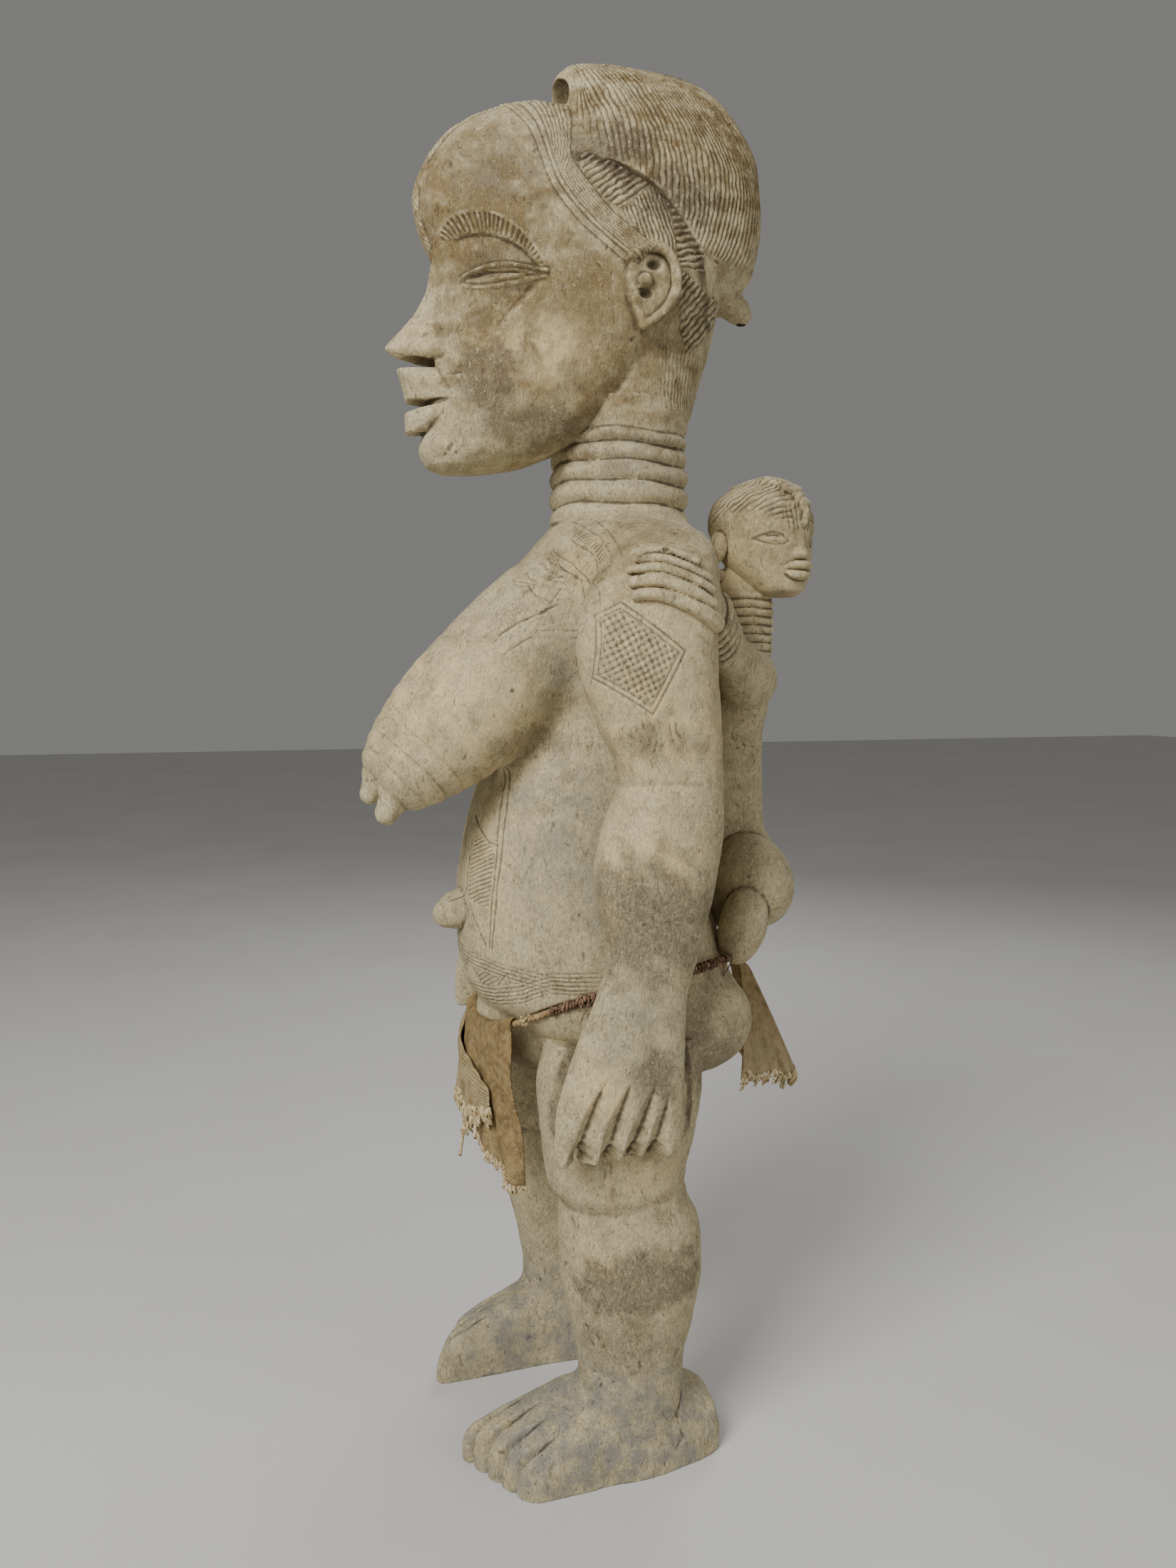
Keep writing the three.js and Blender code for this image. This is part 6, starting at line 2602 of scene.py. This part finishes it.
@dataclass(frozen=True)
class BackCloth:
    """Back panel: gathered at the cord and flared out over the hips to a fringed hem."""

    rows: int = 60
    columns: int = 80
    length: float = 113.0
    shorter: float = 22.0
    flare: float = 58.0
    roll: float = 0.06

    def build(self, weave: Finish, loops: Finish) -> list[Piece]:
        """Hang the panel and its fringe.

        Args:
            weave: the finish of the panel.
            loops: that of the fringe.

        Returns:
            The panel and its fringe.
        """
        v = np.linspace(0, 1, self.rows)[:, None]
        u = np.linspace(-1, 1, self.columns)[None, :]
        near = soft_step(-0.15, -0.9, u)
        angle = math.pi / 2 + u * (0.11 + (0.30 + 0.26 * near) * v**0.9)
        drop = self.length - self.shorter * near + 2 * np.sin(23 * u)
        out = 8 + (self.flare - 49 * near) * v**0.85
        out = out + 2.6 * np.sin(9 * u + 0.8) * v + 1.0 * np.sin(23 * u + 3 * v) * v
        out = out - 4.5 * np.exp(-(((u + 0.42) / 0.08) ** 2)) * v
        spots = hang(angle, drop, out, v + 0 * u, self.roll)
        cloth = Sheet("back_cloth_panel", spots, soft_step(0.35, 0.95, v + 0 * u))
        panel = cloth.build(weave, "back_cloth")
        ends = Bundle()
        hem = spots[-1]
        for k in range(2):
            fringe(ends, hem + (0, 0, 1.2 * k), outwards(hem), 7.5 - k, 7 + k)
        edge = ends.make("back_cloth_fringe", loops, "back_cloth", Slot.CLOTH)
        return [panel, edge]


@dataclass(frozen=True)
class Raffia:
    """Handwoven brown-tan raffia: a coarse matt plain weave, paler with a painted highlight on its raised
    threads and dark with painted shade between them.

    The threads lie 1.3 mm apart and are drawn coarser, so that the weave shows.
    """

    light: str = "#ad8f5c"
    # Dark brown patches, also laid as painted shade in the sunken cells of the weave
    dark: str = "#765e3a"
    # Pale of dust and fading, also laid as a painted highlight on the raised threads
    dust: str = "#d6c296"
    warp: float = 2.1
    weft: float = 1.9

    def make(self) -> Finish:
        """Build the finish.

        Returns:
            The material.
        """
        n = Nodes(bpy.data.materials.new("handwoven raffia"))
        waves = []
        for name, pitch in (("across", self.warp), ("down", self.weft)):
            run = n.add("Attribute", output="Fac", attribute_name=name)
            turn = n.add("Math", [run, FULL_TURN / pitch], operation="MULTIPLY")
            waves.append(n.add("Math", [turn], operation="SINE"))
        check = n.add("Math", waves, operation="MULTIPLY")
        colour = n.tones(self.light, self.dark, n.grain(13.33, 6, 0.7), 0.38, 0.64)
        uneven = n.add("MapRange", [n.grain(3.846, 4), 0.4, 0.6, -0.4, 0.3])
        thread = n.add("Math", [n.add("MapRange", [check, -0.6, 1]), uneven], operation="ADD")
        worn = n.add("MapRange", [n.grain(11.11, 5), 0.3, 0.6])
        kept = n.add("Attribute", output="Fac", attribute_name="faded")
        faded = n.add("Math", [kept, worn], operation="MULTIPLY")
        # The raised threads take the pale colour as a painted highlight, faded patches take it as real
        # fading, and the sunken cells of the weave take the dark colour as painted shade
        for amount, share, over in (
            (n.add("MapRange", [thread, 0.1, 1.2]), 0.6, self.dust),
            (faded, 0.75, self.dust),
            (n.add("MapRange", [check, -0.5, -1]), 0.75, self.dark),
        ):
            colour = n.veil(colour, amount, share, over)
        height = n.add("Math", [check, n.grain(1.111, 3)], operation="ADD")
        surface = {"Base Color": colour, "Roughness": 0.92, "Specular IOR Level": 0.2}
        return n.close(surface, height, 0.6)


# The studio


@dataclass(frozen=True)
class Paper:
    """Matt paper backdrop: even and pale, with faint clouds 0.3 m across."""

    light: str = "#cfcecb"
    dark: str = "#cac8c4"

    def make(self) -> Finish:
        """Build the finish.

        Returns:
            The material.
        """
        n = Nodes(bpy.data.materials.new("pale paper"))
        colour = n.tones(self.light, self.dark, n.grain(333.3, 3), 0.3, 0.7)
        return n.close({"Base Color": colour, "Roughness": 0.8})


@dataclass(frozen=True)
class Lamp:
    """A square soft lamp that faces the carving: its place and width in metres, and its watts."""

    name: str
    spot: tuple[float, float, float]
    width: float
    watts: float

    def build(self) -> None:
        """Hang the lamp."""
        light = bpy.data.lights.new(self.name, "AREA")
        light.size = self.width
        light.energy = self.watts
        lamp = bpy.data.objects.new(self.name, light)
        lamp.location = self.spot
        carving = Vector((0, 0, 0.5))
        lamp.rotation_euler = (carving - Vector(self.spot)).to_track_quat("-Z", "Y").to_euler()
        bpy.context.scene.collection.objects.link(lamp)


@dataclass(frozen=True)
class Studio:
    """Pale floor, soft lamps and the camera at the photograph's viewing angle."""

    lamps: tuple[Lamp, ...] = (
        Lamp("key", (1.1, -1.3, 1.65), 0.9, 50),
        Lamp("fill", (1.5, 1.3, 0.9), 1.4, 9),
        Lamp("rim", (-1.2, 0.9, 1.6), 1.0, 12),
    )
    sky: str = "#dfdeda"
    sky_strength: float = 0.28
    floor_reach: float = 9000.0
    camera_spot: tuple[float, float, float] = (842.6, -273.8, 560.0)
    turn: float = 18.0
    down: float = 5.0
    focal_length: float = 27.0
    film_height: float = 36.0

    def build(self) -> None:
        """Set up floor, lamps and camera."""
        self._floor()
        for lamp in self.lamps:
            lamp.build()
        world = bpy.data.worlds.new("studio")
        world.use_nodes = True
        ground = world.node_tree.nodes["Background"].inputs
        ground[0].default_value = linear(self.sky)
        ground[1].default_value = self.sky_strength
        bpy.context.scene.world = world
        self._camera()

    def _floor(self) -> None:
        """A wide pale floor."""
        far = self.floor_reach
        corners = np.array([(-far, -far, 0), (far, -far, 0), (far, far, 0), (-far, far, 0)])
        floor = put("floor", corners - (0, 0, 0.2), np.array([[0, 1, 2, 3]]), Paper().make())

    def _camera(self) -> None:
        """The camera of the photograph."""
        lens = bpy.data.cameras.new("view")
        lens.sensor_fit = "VERTICAL"
        lens.sensor_height = self.film_height
        lens.lens = self.focal_length
        lens.clip_start = 0.02
        turn, down = math.radians(self.turn), math.radians(self.down)
        level = math.cos(down)
        ahead = Vector((-math.cos(turn) * level, math.sin(turn) * level, -math.sin(down)))
        camera = bpy.data.objects.new("view", lens)
        camera.location = (np.array(self.camera_spot) + SHIFT) * MM
        camera.rotation_euler = ahead.to_track_quat("-Z", "Y").to_euler()
        bpy.context.scene.collection.objects.link(camera)
        bpy.context.scene.camera = camera


def report(pieces: Sequence[Piece]) -> None:
    """Log each piece with its triangles."""
    for piece in pieces:
        log.info("%s: %d triangles", piece.name, count_triangles(piece))


def main() -> None:
    """Build the figure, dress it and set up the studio."""
    logging.basicConfig(level=logging.INFO)
    Studio().build()
    wood = WeatheredWood().make()
    for part in (Head(), Crest(), UpperBody(), LowerBody(), Child(), ChildHead()):
        report([part.build(wood)])
    loops = CREAM_THREAD.make()
    report(HipCord().build(PLANT_CORD.make(), DARK_THREAD.make(), loops))
    weave = Raffia().make()
    report(FrontCloth().build(weave, loops))
    report(BackCloth().build(weave, loops))


if __name__ == "__main__":
    main()
